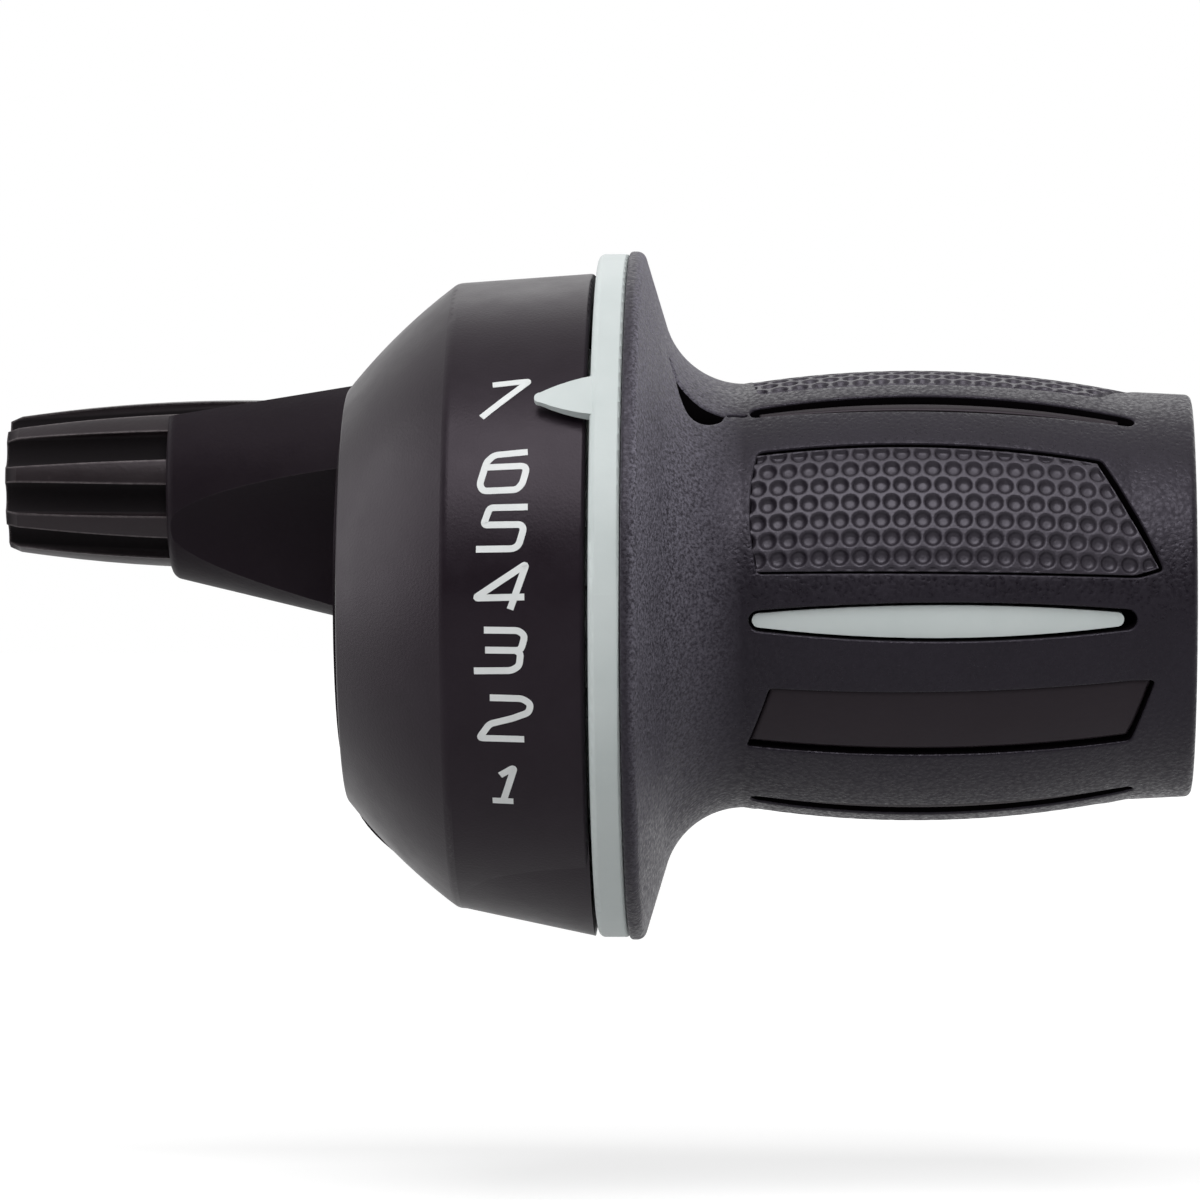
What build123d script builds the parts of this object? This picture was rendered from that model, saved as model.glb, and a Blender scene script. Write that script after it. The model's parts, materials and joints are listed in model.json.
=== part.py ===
from build123d import *
import os
from math import cos, hypot, radians, sin

os.makedirs("parts", exist_ok=True)

# Millimetres. The handlebar runs along X, the numbered band faces -Y and Z is up.
# X is zero at the inboard face of the housing and grows towards the open end of the grip.
# Angles around the bar are measured upwards from the near side, the side of the numerals.

# Handlebar, fits and clearances
BAR_R = 11.1
BAR_FIT = 0.05
BORE_R = BAR_R + BAR_FIT
RUN_FIT = 0.08
SEAT_GAP = 0.1
FACE_GAP = 0.05
CUT_UNDER = 0.5
CUT_LONG = 8.0

# Housing: a cone that opens into the band with the numerals, over a swelling at the bottom
CONE_R = 16.0
CONE_SWELL = 0.4
CREASE_X = 8.65
CREASE_R = 24.35
CREASE_FILLET = 1.2
CONE_FILLET = 0.6
BAND_END_X = 19.3
BAND_RISE = 0.75
BAND_END_R = CREASE_R + BAND_RISE
BAND_FILLET = 0.35
BULGE_FROM = -42.0
BULGE_TO = -122.0
BULGE_DROP = 1.35
BULGE_SINK = 0.35
BULGE_START = 0.1
COVER_T = 1.5
COVER_LIP = 1.6
COVER_FROM = -92.0
COVER_TO = 112.0
PARTING_ARC = 0.8
# Places along the cone where the back shell stands over the cone's chord, and by how much
SHOULDER = ((0.9, 0.53), (2.6, 0.84), (4.6, 0.51))
SHOULDER_START = 0.2

# Base inside the cover
WALL_X = 0.3
WALL_T = 1.9
COLLAR_LONG = 0.7
COLLAR_T = 1.65
CAVITY_W = 6.2
CAVITY_WALL = 1.4
BULKHEAD_T = 1.6
DRUM_WALL = 1.55
DRUM_INSET = 0.2
SHELL_LAP = 0.7
SLEEVE_T = 1.15
CAVITY_X = WALL_X + WALL_T
BULKHEAD_X = CAVITY_X + CAVITY_W
CHAMBER_X = BULKHEAD_X + BULKHEAD_T
CHAMBER_R = CREASE_R - COVER_T - SEAT_GAP - DRUM_WALL
SLEEVE_R = BORE_R + SLEEVE_T

# Line of the cable, which comes in from the adjuster behind the bar and above its level
ADJ_ANGLE = 28.2
ADJ_IN = 2.365
ADJ_AT_R = CHAMBER_R - ADJ_IN
ADJ_Y = ADJ_AT_R * cos(radians(ADJ_ANGLE))
ADJ_Z = ADJ_AT_R * sin(radians(ADJ_ANGLE))

# Grip barrel
THRUST_ROOM = 1.0
BARREL_X = CHAMBER_X + THRUST_ROOM
BARREL_BORE_R = SLEEVE_R + RUN_FIT
BARREL_WALL = 1.32
TUBE_R = BARREL_BORE_R + BARREL_WALL
SPOOL_FLANGE = 0.9
SPOOL_GAP = 1.435
SPOOL_R = ADJ_AT_R - SPOOL_GAP - SPOOL_FLANGE
SPOOL_FLANGE_T = 1.4
CABLE_IN = 3.5
CABLE_X = BARREL_X + CABLE_IN
CABLE_GROOVE_W = 1.4
CABLE_FLOOR = 1.02
CABLE_GROOVE_R = BARREL_BORE_R + CABLE_FLOOR
CABLE_EXIT_RISE = 1.6
CABLE_EXIT_R = CABLE_GROOVE_R + CABLE_EXIT_RISE
CABLE_HEAD_R = 2.3
CABLE_HEAD_WALL = 1.62
CABLE_HEAD_AT_R = BARREL_BORE_R + CABLE_HEAD_R + CABLE_HEAD_WALL
CABLE_HEAD_FLOOR = 0.8
DETENT_W = 3.35
DETENT_GAP = 2.0
DETENT_R = CHAMBER_R - DETENT_GAP
NOTCH_R = 1.35
NOTCH_OUT = 0.4
RING_GAP = 0.3
RING_X = BAND_END_X + RING_GAP
RING_W = 2.35
RING_STEP = 1.5
RING_R = BAND_END_R + RING_STEP
RING_FILLET = 0.5
DETENT_X = RING_X - DETENT_W

# Pointer over the band and the angles of the seven gears
GEAR_ANGLES = (36.3, 22.2, 11.9, 1.5, -9.6, -22.0, -35.4)
POINTER_LAG = 1.5
POINTER_LONG = 4.2
POINTER_TIP_W = 0.9
POINTER_ROOT_W = 3.65
POINTER_GAP = 0.55
POINTER_STEP = 0.08
POINTER_TAPER = 0.5
POINTER_WAIST = 0.53
POINTER_TIP_X = RING_X - POINTER_LONG
POINTER_IN_R = BAND_END_R + POINTER_GAP

# Rubber cover of the grip: flange, funnel, bow and plain end
RUBBER_IN_R = TUBE_R + FACE_GAP
FLANGE_X = RING_X + RING_W + FACE_GAP
FLANGE_T = 1.05
FLANGE_STEP = 0.2
FLANGE_R = RING_R + FLANGE_STEP
FLANGE_FILLET = 0.7
FLANK_RUN = 1.75
FLANK_DROP = 5.8
NECK_RUN = 6.0
NECK_WALL = 2.75
BOW_LONG = 29.7
BOW_CREST_AT = 13.7
BOW_CREST = 1.05
BOW_END_DROP = 0.65
END_LONG = 5.0
END_DROP = 0.25
END_FILLET = 0.5
TUBE_SHORT = 0.6
SLEEVE_SHORT = 0.3
FLANK_X = FLANGE_X + FLANGE_T
FUNNEL_X = FLANK_X + FLANK_RUN
FUNNEL_R = FLANGE_R - FLANK_DROP
NECK_X = FUNNEL_X + NECK_RUN
NECK_R = RUBBER_IN_R + NECK_WALL
BOW_END_X = NECK_X + BOW_LONG
BOW_END_R = NECK_R - BOW_END_DROP
GRIP_END_X = BOW_END_X + END_LONG
GRIP_END_R = BOW_END_R - END_DROP
TUBE_END_X = GRIP_END_X - TUBE_SHORT
SLEEVE_END_X = GRIP_END_X - SLEEVE_SHORT

# Grooves along the grip, and the grey lens in the front one
GROOVE_FRONT = -6.7
GROOVE_PITCH = 64.0
GROOVE_DEPTH = 1.7
GROOVE_W = 2.3
GROOVE_END_W = 1.3
GROOVE_START = 0.6
GROOVE_PAST = 0.4
GROOVE_X = (NECK_X + GROOVE_START, BOW_END_X + GROOVE_PAST)
LENS_INSET = (0.3, 1.0)
LENS_W = 2.5
LENS_END_W = 1.1
LENS_ROOM = 0.25
LENS_SUNK = 0.45
LENS_GAP = 0.1
LENS_X = (GROOVE_X[0] + LENS_INSET[0], GROOVE_X[1] - LENS_INSET[1])

# Sunk panels between the grooves, and the plain plate under the front groove
PANEL_ANGLES = (23.2, 86.0, 144.0, 202.0, 260.0)
PANEL_DEPTH = 0.55
PANEL_HALF_W = 5.05
PANEL_SWELL = 0.3
PANEL_END_IN = 0.55
PANEL_SLANT = 4.6
PANEL_LOW_IN = 0.1
PANEL_TIP_LONG = 1.75
PANEL_TIP_RISE = 0.65
PANEL_START = 1.3
PANEL_PAST = 2.4
PANEL_X = (NECK_X + PANEL_START, BOW_END_X + PANEL_PAST)
PLATE_ANGLE = -34.6
PLATE_DEPTH = 0.4
PLATE_HALF_W = 2.8
PLATE_SWELL = 0.15
PLATE_SLANT = 1.8
PLATE_START = 0.4
PLATE_X = (NECK_X + PLATE_START, BOW_END_X)
OUTLINE_FILLET = 0.4

# Port for the cable in the funnel, and the seam of its flap
PORT_ANGLE = 52.5
PORT_START = 0.45
PORT_X = FUNNEL_X + PORT_START
PORT_LOW_EDGE = ((0.0, 2.3), (0.8, -0.9), (1.7, -1.5), (2.7, -0.7), (4.1, 0.95))
PORT_HIGH_EDGE = ((0.0, 2.3), (1.3, 1.15), (2.6, 1.25), (4.1, 0.95))
PORT_FLOOR = 0.6
PASSAGE_R = 1.4
PASSAGE_LONG = 5.0
SEAM_ANGLE = 56.9
SEAM_ARC = 0.9
SEAM_DEPTH = 0.3
SEAM_PAST_NECK = 1.1

# Cable adjuster and the spout that holds it
ADJ_TRAVEL = 2.4
KNOB_TIP_X = -28.3
KNOB_TIP_R = 5.5
KNOB_TIP_BEVEL = (0.9, 0.4)
KNOB_R = 6.78
KNOB_SWELL = 0.3
KNOB_PLAIN = 3.4
KNOB_END_X = -6.6
FLUTES = 9
FLUTE_TURN = 32.0
FLUTE_R = 1.3
FLUTE_DEPTH = 1.2
FLUTE_LIFT = 0.3
SOCKET_R = 2.6
SOCKET_DEEP = 9.0
CABLE_HOLE_R = 0.9
STEM_R = 2.5
STEM_ROOM = 0.3
STEM_END_X = 5.6
SPOUT_X = -15.3
SPOUT_R = 7.4
SPOUT_FILLET = 0.9
ROOT_IN = 1.6
ROOT_R = 10.3
TAIL_IN = 3.235
TAIL_R = 9.0
TAIL_SHORT = 1.5
TAIL_X = BAND_END_X - TAIL_SHORT
SPOUT_BORE_R = 6.95
SPOUT_BORE_X = -1.5
FACET_Z = 5.4
FACET_SLOPE = 8.9
BAR_ROOM = 0.25
BAND_ROOM = 0.9
INSERT_R = 4.2
INSERT_END_X = 5.0
WASHER_X = KNOB_END_X + SEAT_GAP
WASHER_T = 1.0
WASHER_ROOM = 0.4
KEY_W = 1.6
KEY_TALL = 0.5
KEY_ROOM = 0.3
SPRING_R = 4.5
SPRING_WIRE_R = 0.4
SPRING_TURNS = 2.5

# Clamp band and its bolt
BAND_T = 1.2
BAND_SIDE = 0.3
BAND_X = (CAVITY_X + BAND_SIDE, BULKHEAD_X - BAND_SIDE)
EAR_Y = 0.6
EAR_T = 1.1
EAR_R = 2.5
EAR_DROP = 2.7
BOLT_IN = 3.3
BOLT_X = CAVITY_X + BOLT_IN
BOLT_Z = -(BORE_R + BAND_T + EAR_DROP)
BOLT_R = 1.25
BOLT_FIT = 0.1
BOLT_HEAD_R = 2.25
BOLT_HEAD_T = 2.5
BOLT_HEAD_BEVEL = 0.3
BOLT_KEY = 2.0
BOLT_KEY_DEEP = 1.6
BOLT_OVER = 0.4
NUT_R = 2.35
NUT_T = 2.4
POCKET_ROOM = 0.65
POCKET_R = BOLT_HEAD_R + POCKET_ROOM
POCKET_TALL = 3.6

# Retaining cover on the back of the band
KEEPER_FROM = 194.0
KEEPER_TO = 236.0
KEEPER_ARC_GAP = 0.4
KEEPER_IN = (2.25, 0.9)
KEEPER_X = (CREASE_X + KEEPER_IN[0], BAND_END_X - KEEPER_IN[1])
KEEPER_DEEP = 1.05
KEEPER_FLOOR_R = CREASE_R - KEEPER_DEEP
TONGUE_ANGLE = 215.0
TONGUE_ARC = 16.0
TONGUE_ARC_GAP = 0.5
TONGUE_GAP = 0.35
TONGUE_X = BARREL_X + SPOOL_FLANGE_T + TONGUE_GAP
TONGUE_T = 0.8
TONGUE_RISE = 0.4
TONGUE_R = SPOOL_R + TONGUE_RISE
SCREW_ANGLE = 228.5
SCREW_X = (KEEPER_X[0] + KEEPER_X[1]) / 2
SCREW_R = 1.1
SCREW_FIT = 0.15
SCREW_HEAD_R = 2.1
SCREW_HEAD_T = 0.75
SCREW_SEAT = 0.7
SCREW_SLOT = (2.6, 0.6)
SCREW_SLOT_DEEP = 0.4

# Cable guide in the drum
GUIDE_R = 4.7
GUIDE_T = 2.0
GUIDE_BEND_R = 4.5
GUIDE_GROOVE_R = 0.65

# Detent leaf
LEAF_ANGLE = -60.0
LEAF_HALF_ARC = 26.0
LEAF_T = 0.5
LEAF_R = CHAMBER_R - SEAT_GAP - LEAF_T / 2
LEAF_BUMP_R = NOTCH_R - SEAT_GAP
LEAF_IN = 0.3
LEAF_W = 2.1
LEAF_X = DETENT_X + LEAF_IN


def meridian(angle):
    """Half section through the bar axis, X along the bar and Y outwards at the angle."""
    return Plane(
        origin=(0, 0, 0),
        x_dir=(1, 0, 0),
        z_dir=(0, -sin(radians(angle)), -cos(radians(angle))),
    )


def facing(angle, height):
    """Plane at a height over the bar axis that looks outwards, X along the bar and Y upwards."""
    out_y = -cos(radians(angle))
    out_z = sin(radians(angle))
    return Plane(
        origin=(0, height * out_y, height * out_z),
        x_dir=(1, 0, 0),
        z_dir=(0, out_y, out_z),
    )


def around(angle, radius):
    """Place in the YZ plane at an angle around the bar and a distance from its axis."""
    return (-radius * cos(radians(angle)), radius * sin(radians(angle)))


def corner(sketch, x, r):
    """Vertex of a sketch nearest to a point."""
    return sketch.vertices().sort_by_distance((x, r, 0))[0]


def cone_points(inset):
    """Start, middle and end of the cone's swelling outline, moved inwards square to its chord."""
    chord = hypot(CREASE_X, CREASE_R - CONE_R)
    inwards = ((CREASE_R - CONE_R) / chord, -CREASE_X / chord)
    middle = (
        CREASE_X / 2 - CONE_SWELL * inwards[0],
        (CONE_R + CREASE_R) / 2 - CONE_SWELL * inwards[1],
    )
    guide = ((0.0, CONE_R), middle, (CREASE_X, CREASE_R))
    return [(x + inset * inwards[0], r + inset * inwards[1]) for x, r in guide]


def chord_r(x, inset):
    """Radius of the cone's chord at a place along the bar, moved inwards square to the chord."""
    slope = (CREASE_R - CONE_R) / CREASE_X
    return CONE_R + slope * x - inset * hypot(1, slope)


def bow_points(depth):
    """Start, crest and end of the grip's bowed outline, sunk by a depth."""
    guide = ((NECK_X, NECK_R), (NECK_X + BOW_CREST_AT, NECK_R + BOW_CREST), (BOW_END_X, BOW_END_R))
    return [(x, r - depth) for x, r in guide]


def bowed_slot(span, width, end_width, room=0.0):
    """Draws a slot with bowed sides and round ends, grown by a room all round."""
    end_half = end_width / 2 + room
    start, end = span[0] - room, span[1] + room
    middle = ((start + end) / 2, width / 2 + room)
    start_top = (start + end_half, end_half)
    end_top = (end - end_half, end_half)
    start_low = (start + end_half, -end_half)
    end_low = (end - end_half, -end_half)
    ThreePointArc(start_top, middle, end_top)
    ThreePointArc(end_top, (end, 0), end_low)
    ThreePointArc(end_low, (middle[0], -middle[1]), start_low)
    ThreePointArc(start_low, (start, 0), start_top)


def adjuster_out(distance):
    """Place in the YZ plane on the line from the bar axis through the adjuster."""
    return (distance * cos(radians(ADJ_ANGLE)), distance * sin(radians(ADJ_ANGLE)))


groove_top = GROOVE_FRONT + GROOVE_PITCH
groove_low = GROOVE_FRONT - GROOVE_PITCH
back_pitch = (360 - 2 * GROOVE_PITCH) / 4
groove_angles = (
    groove_top,
    groove_top + back_pitch,
    groove_top + 2 * back_pitch,
    groove_top + 3 * back_pitch,
    groove_low,
)
adjuster_axis = Axis((0, ADJ_Y, ADJ_Z), (1, 0, 0))
adjuster_section = Plane(origin=(0, ADJ_Y, ADJ_Z), x_dir=(1, 0, 0), z_dir=(0, 0, 1))
head_y = EAR_Y + EAR_T + FACE_GAP

# Swelling under the band, shared by the cover and the base
with BuildPart() as bulge:
    for bulge_x, bulge_r, low_r in (
        (CREASE_X, CREASE_R, CREASE_R - BULGE_START),
        (BAND_END_X, BAND_END_R, BAND_END_R + BULGE_DROP),
    ):
        with BuildSketch(Plane.YZ.offset(bulge_x)):
            with BuildLine():
                sunk_r = bulge_r - BULGE_SINK
                bulge_ends = (around(BULGE_FROM, sunk_r), around(BULGE_TO, sunk_r))
                Spline(
                    bulge_ends[0],
                    (0, -low_r),
                    bulge_ends[1],
                    tangents=(around(BULGE_FROM - 90, 1), around(BULGE_TO - 90, 1)),
                )
                Line(*bulge_ends)
            make_face()
    loft(ruled=True)
    with BuildSketch(meridian(0)):
        with BuildLine():
            Polyline(
                (CREASE_X, 0),
                (CREASE_X, CREASE_R - COVER_T / 2),
                (BAND_END_X, BAND_END_R - COVER_T / 2),
                (BAND_END_X, 0),
                close=True,
            )
        make_face()
    revolve(axis=Axis.X, mode=Mode.SUBTRACT)

# Indicator cover: cone and band in one shell over the front half
with BuildPart() as indicator_cover:
    outer = cone_points(0)
    inner = cone_points(COVER_T)
    lip_r = CONE_R - COVER_LIP
    with BuildSketch(meridian(COVER_TO)) as cover_section:
        with BuildLine():
            ThreePointArc(*outer)
            Polyline(outer[2], (BAND_END_X, BAND_END_R), (BAND_END_X, BAND_END_R - COVER_T), inner[2])
            ThreePointArc(*inner)
            Polyline(inner[0], (inner[0][0], lip_r), (0, lip_r), outer[0])
        make_face()
        fillet(corner(cover_section, CREASE_X, CREASE_R), radius=CREASE_FILLET)
        fillet(corner(cover_section, 0, CONE_R), radius=CONE_FILLET)
        fillet(corner(cover_section, BAND_END_X, BAND_END_R), radius=BAND_FILLET)
    revolve(axis=Axis.X, revolution_arc=COVER_TO - COVER_FROM)
    add(split(bulge.part, bisect_by=meridian(COVER_FROM + 180), keep=Keep.TOP, mode=Mode.PRIVATE))
indicator_cover.part.label = "indicator_cover"
export_step(indicator_cover.part, "parts/indicator_cover.step")

# Spout: a cone around the adjuster that fades into the back of the band
with BuildPart() as spout:
    with BuildSketch(Plane.YZ.offset(SPOUT_X)):
        with Locations((ADJ_Y, ADJ_Z)):
            Circle(SPOUT_R)
    with BuildSketch(Plane.YZ):
        with Locations(adjuster_out(ADJ_AT_R - ROOT_IN)):
            Circle(ROOT_R)
    with BuildSketch(Plane.YZ.offset(TAIL_X)):
        with Locations(adjuster_out(ADJ_AT_R - TAIL_IN)):
            Circle(TAIL_R)
    loft(ruled=True)
    fillet(spout.edges().filter_by(GeomType.CIRCLE).sort_by(Axis.X)[0], radius=SPOUT_FILLET)
    # The sloping top breaks into the bore, so the knob lies in an open trough near the mouth
    with BuildSketch(Plane.XZ.offset(-ADJ_Y)):
        with Locations(Location((SPOUT_X, ADJ_Z + FACET_Z), FACET_SLOPE)):
            Rectangle(2 * (TAIL_X - SPOUT_X), 2 * ROOT_R, align=(Align.CENTER, Align.MIN))
    extrude(amount=2 * ROOT_R, both=True, mode=Mode.SUBTRACT)
    # Room for the bar, the clamp band and the spool
    with BuildSketch(meridian(0)):
        with BuildLine():
            Polyline(
                (SPOUT_X - 1, 0),
                (SPOUT_X - 1, BORE_R + BAR_ROOM),
                (WALL_X, BORE_R + BAR_ROOM),
                (WALL_X, BORE_R),
                (CAVITY_X, BORE_R),
                (CAVITY_X, BORE_R + BAND_T + BAND_ROOM),
                (BULKHEAD_X, BORE_R + BAND_T + BAND_ROOM),
                (BULKHEAD_X, BORE_R),
                (CHAMBER_X, BORE_R),
                (CHAMBER_X, CHAMBER_R),
                (TAIL_X + 1, CHAMBER_R),
                (TAIL_X + 1, 0),
                close=True,
            )
        make_face()
    revolve(axis=Axis.X, mode=Mode.SUBTRACT)

# Housing base: wall, clamp cavity, bulkhead, drum and the sleeve that carries the grip
with BuildPart() as housing_base:
    skin_inset = COVER_T + SEAT_GAP
    skin = cone_points(skin_inset)
    hidden = cone_points(skin_inset + SHELL_LAP)
    cavity_inset = skin_inset + CAVITY_WALL
    drum_end_x = BAND_END_X - DRUM_INSET
    collar_x = WALL_X - COLLAR_LONG
    with BuildSketch(meridian(0)):
        with BuildLine():
            ThreePointArc(*skin)
            Polyline(
                skin[2],
                (drum_end_x, BAND_END_R - skin_inset),
                (drum_end_x, CHAMBER_R),
                (CHAMBER_X, CHAMBER_R),
                (CHAMBER_X, SLEEVE_R),
                (SLEEVE_END_X, SLEEVE_R),
                (SLEEVE_END_X, BORE_R),
                (BULKHEAD_X, BORE_R),
                (BULKHEAD_X, chord_r(BULKHEAD_X, cavity_inset)),
                (CAVITY_X, chord_r(CAVITY_X, cavity_inset)),
                (CAVITY_X, BORE_R),
                (collar_x, BORE_R),
                (collar_x, BORE_R + COLLAR_T),
                (WALL_X, BORE_R + COLLAR_T),
                (WALL_X, lip_r - SEAT_GAP),
                (skin[0][0], lip_r - SEAT_GAP),
                skin[0],
            )
        make_face()
    revolve(axis=Axis.X)
    # Back shell, a little proud of the cover where the cone begins
    with BuildSketch(meridian(360 + COVER_FROM - PARTING_ARC)) as back_section:
        with BuildLine():
            shell_start = (WALL_X, CONE_R + SHOULDER_START)
            shoulder = [(x, chord_r(x, 0) + proud) for x, proud in SHOULDER]
            Spline(shell_start, *shoulder, (CREASE_X, CREASE_R))
            Polyline(
                (CREASE_X, CREASE_R),
                (BAND_END_X, BAND_END_R),
                (BAND_END_X, CHAMBER_R + DRUM_WALL - SHELL_LAP),
                (hidden[2][0], CHAMBER_R + DRUM_WALL - SHELL_LAP),
                hidden[2],
            )
            ThreePointArc(*hidden)
            Polyline(hidden[0], (WALL_X, hidden[0][1]), shell_start)
        make_face()
        fillet(corner(back_section, CREASE_X, CREASE_R), radius=CREASE_FILLET)
        fillet(corner(back_section, BAND_END_X, BAND_END_R), radius=BAND_FILLET)
    revolve(axis=Axis.X, revolution_arc=360 - COVER_TO + COVER_FROM - 2 * PARTING_ARC)
    back_half = meridian(COVER_FROM - PARTING_ARC + 180)
    add(split(bulge.part, bisect_by=back_half, keep=Keep.BOTTOM, mode=Mode.PRIVATE))
    add(spout.part)
    # Stepped hole for the knob, the insert, the stem and the cable
    hole_steps = (
        (SPOUT_X - 1, SPOUT_BORE_X, SPOUT_BORE_R),
        (SPOUT_BORE_X, INSERT_END_X, INSERT_R),
        (INSERT_END_X, STEM_END_X + SEAT_GAP, STEM_R + STEM_ROOM),
        (STEM_END_X, CHAMBER_X + CUT_UNDER, CABLE_HOLE_R + SEAT_GAP),
    )
    for step_x, step_end_x, step_r in hole_steps:
        with BuildSketch(Plane.YZ.offset(step_x)):
            with Locations((ADJ_Y, ADJ_Z)):
                Circle(step_r)
        extrude(amount=step_end_x - step_x, mode=Mode.SUBTRACT)
    # Keyway of the sliding washer
    with BuildSketch(Plane.YZ.offset(SPOUT_BORE_X)):
        with Locations((ADJ_Y, ADJ_Z)):
            Rectangle(
                SPOUT_BORE_R + KEY_TALL + KEY_ROOM,
                KEY_W + KEY_ROOM,
                align=(Align.MIN, Align.CENTER),
            )
    extrude(amount=WASHER_X - ADJ_TRAVEL - KEY_ROOM - SPOUT_BORE_X, mode=Mode.SUBTRACT)
    # Pocket for the ears, the bolt and the nut, with the key hole at the back
    pocket_back = head_y + BOLT_HEAD_T + POCKET_ROOM
    pocket_front = head_y + NUT_T + BOLT_OVER + POCKET_ROOM
    with BuildSketch(Plane.XZ.offset(-pocket_back)):
        with Locations((BOLT_X, BOLT_Z)):
            Circle(POCKET_R)
        with Locations(((CAVITY_X + BULKHEAD_X) / 2, BOLT_Z)):
            Rectangle(CAVITY_W, POCKET_TALL, align=(Align.CENTER, Align.MIN))
    extrude(amount=pocket_back + pocket_front, mode=Mode.SUBTRACT)
    with BuildSketch(Plane.XZ.offset(-pocket_back)):
        with Locations((BOLT_X, BOLT_Z)):
            Circle(POCKET_R)
    extrude(amount=-BAND_END_R, mode=Mode.SUBTRACT)
    # Seat of the retaining cover, the slot of its tongue and its screw hole
    with BuildSketch(meridian(KEEPER_TO + KEEPER_ARC_GAP)):
        with Locations((KEEPER_X[0] - SEAT_GAP, KEEPER_FLOOR_R)):
            Rectangle(KEEPER_X[1] - KEEPER_X[0] + 2 * SEAT_GAP, CUT_LONG, align=(Align.MIN, Align.MIN))
    revolve(axis=Axis.X, revolution_arc=KEEPER_TO - KEEPER_FROM + 2 * KEEPER_ARC_GAP, mode=Mode.SUBTRACT)
    with BuildSketch(meridian(TONGUE_ANGLE + TONGUE_ARC / 2 + TONGUE_ARC_GAP)):
        with Locations((TONGUE_X - SEAT_GAP, CHAMBER_R - CUT_UNDER)):
            Rectangle(TONGUE_T + 2 * SEAT_GAP, CUT_LONG, align=(Align.MIN, Align.MIN))
    revolve(axis=Axis.X, revolution_arc=TONGUE_ARC + 2 * TONGUE_ARC_GAP, mode=Mode.SUBTRACT)
    with BuildSketch(facing(SCREW_ANGLE, CHAMBER_R - CUT_UNDER)):
        with Locations((SCREW_X, 0)):
            Circle(SCREW_R + FACE_GAP)
    extrude(amount=CUT_LONG, mode=Mode.SUBTRACT)
housing_base.part.label = "housing_base"
export_step(housing_base.part, "parts/housing_base.step")

# Retaining cover: its tongue stands behind the spool flange and keeps the grip on
with BuildPart() as retaining_cover:
    with BuildSketch(meridian(KEEPER_TO)):
        with BuildLine():
            Polyline(
                (KEEPER_X[0], KEEPER_FLOOR_R + FACE_GAP),
                (KEEPER_X[1], KEEPER_FLOOR_R + FACE_GAP),
                (KEEPER_X[1], BAND_END_R - SEAT_GAP),
                (KEEPER_X[0], CREASE_R + SEAT_GAP),
                close=True,
            )
        make_face()
    revolve(axis=Axis.X, revolution_arc=KEEPER_TO - KEEPER_FROM)
    with BuildSketch(meridian(TONGUE_ANGLE + TONGUE_ARC / 2)):
        with Locations((TONGUE_X, TONGUE_R)):
            Rectangle(TONGUE_T, KEEPER_FLOOR_R + CUT_UNDER - TONGUE_R, align=(Align.MIN, Align.MIN))
    revolve(axis=Axis.X, revolution_arc=TONGUE_ARC)
    with BuildSketch(facing(SCREW_ANGLE, KEEPER_FLOOR_R - CUT_UNDER)):
        with Locations((SCREW_X, 0)):
            Circle(SCREW_R + SCREW_FIT)
    extrude(amount=CUT_LONG, mode=Mode.SUBTRACT)
    with BuildSketch(facing(SCREW_ANGLE, KEEPER_FLOOR_R + SCREW_SEAT)):
        with Locations((SCREW_X, 0)):
            Circle(SCREW_HEAD_R + SCREW_FIT)
    extrude(amount=CUT_LONG, mode=Mode.SUBTRACT)
retaining_cover.part.label = "retaining_cover"
export_step(retaining_cover.part, "parts/retaining_cover.step")

with BuildPart() as retaining_screw:
    shank_r = CHAMBER_R + SEAT_GAP
    head_r = KEEPER_FLOOR_R + SCREW_SEAT + FACE_GAP
    with BuildSketch(facing(SCREW_ANGLE, shank_r)):
        with Locations((SCREW_X, 0)):
            Circle(SCREW_R)
    extrude(amount=head_r - shank_r)
    with BuildSketch(facing(SCREW_ANGLE, head_r)):
        with Locations((SCREW_X, 0)):
            Circle(SCREW_HEAD_R)
    extrude(amount=SCREW_HEAD_T)
    with BuildSketch(facing(SCREW_ANGLE, head_r + SCREW_HEAD_T)):
        with Locations((SCREW_X, 0)):
            Rectangle(*SCREW_SLOT)
            Rectangle(*SCREW_SLOT, rotation=90)
    extrude(amount=-SCREW_SLOT_DEEP, mode=Mode.SUBTRACT)
retaining_screw.part.label = "retaining_screw"
export_step(retaining_screw.part, "parts/retaining_screw.step")

# Clamp: a split steel band, a bolt through its ears and a round nut
with BuildPart() as clamp_band:
    ears_thick = 2 * (EAR_Y + EAR_T)
    with BuildSketch(Plane.YZ.offset(BAND_X[0])):
        Circle(BORE_R + BAND_T)
        Circle(BORE_R, mode=Mode.SUBTRACT)
    extrude(amount=BAND_X[1] - BAND_X[0])
    with BuildSketch(Plane.XZ.offset(-ears_thick / 2)):
        with Locations((BOLT_X, BOLT_Z)):
            Circle(EAR_R)
            Rectangle(2 * EAR_R, EAR_DROP + BAND_T - BAR_ROOM, align=(Align.CENTER, Align.MIN))
    extrude(amount=ears_thick)
    with BuildSketch(Plane.XZ.offset(-EAR_Y)):
        with Locations((BOLT_X, BOLT_Z - EAR_R)):
            Rectangle(2 * CAVITY_W, 2 * EAR_R + EAR_DROP + BAND_T, align=(Align.CENTER, Align.MIN))
    extrude(amount=2 * EAR_Y, mode=Mode.SUBTRACT)
    with BuildSketch(Plane.XZ.offset(-ears_thick / 2)):
        with Locations((BOLT_X, BOLT_Z)):
            Circle(BOLT_R + BOLT_FIT)
    extrude(amount=ears_thick, mode=Mode.SUBTRACT)
clamp_band.part.label = "clamp_band"
export_step(clamp_band.part, "parts/clamp_band.step")

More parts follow.
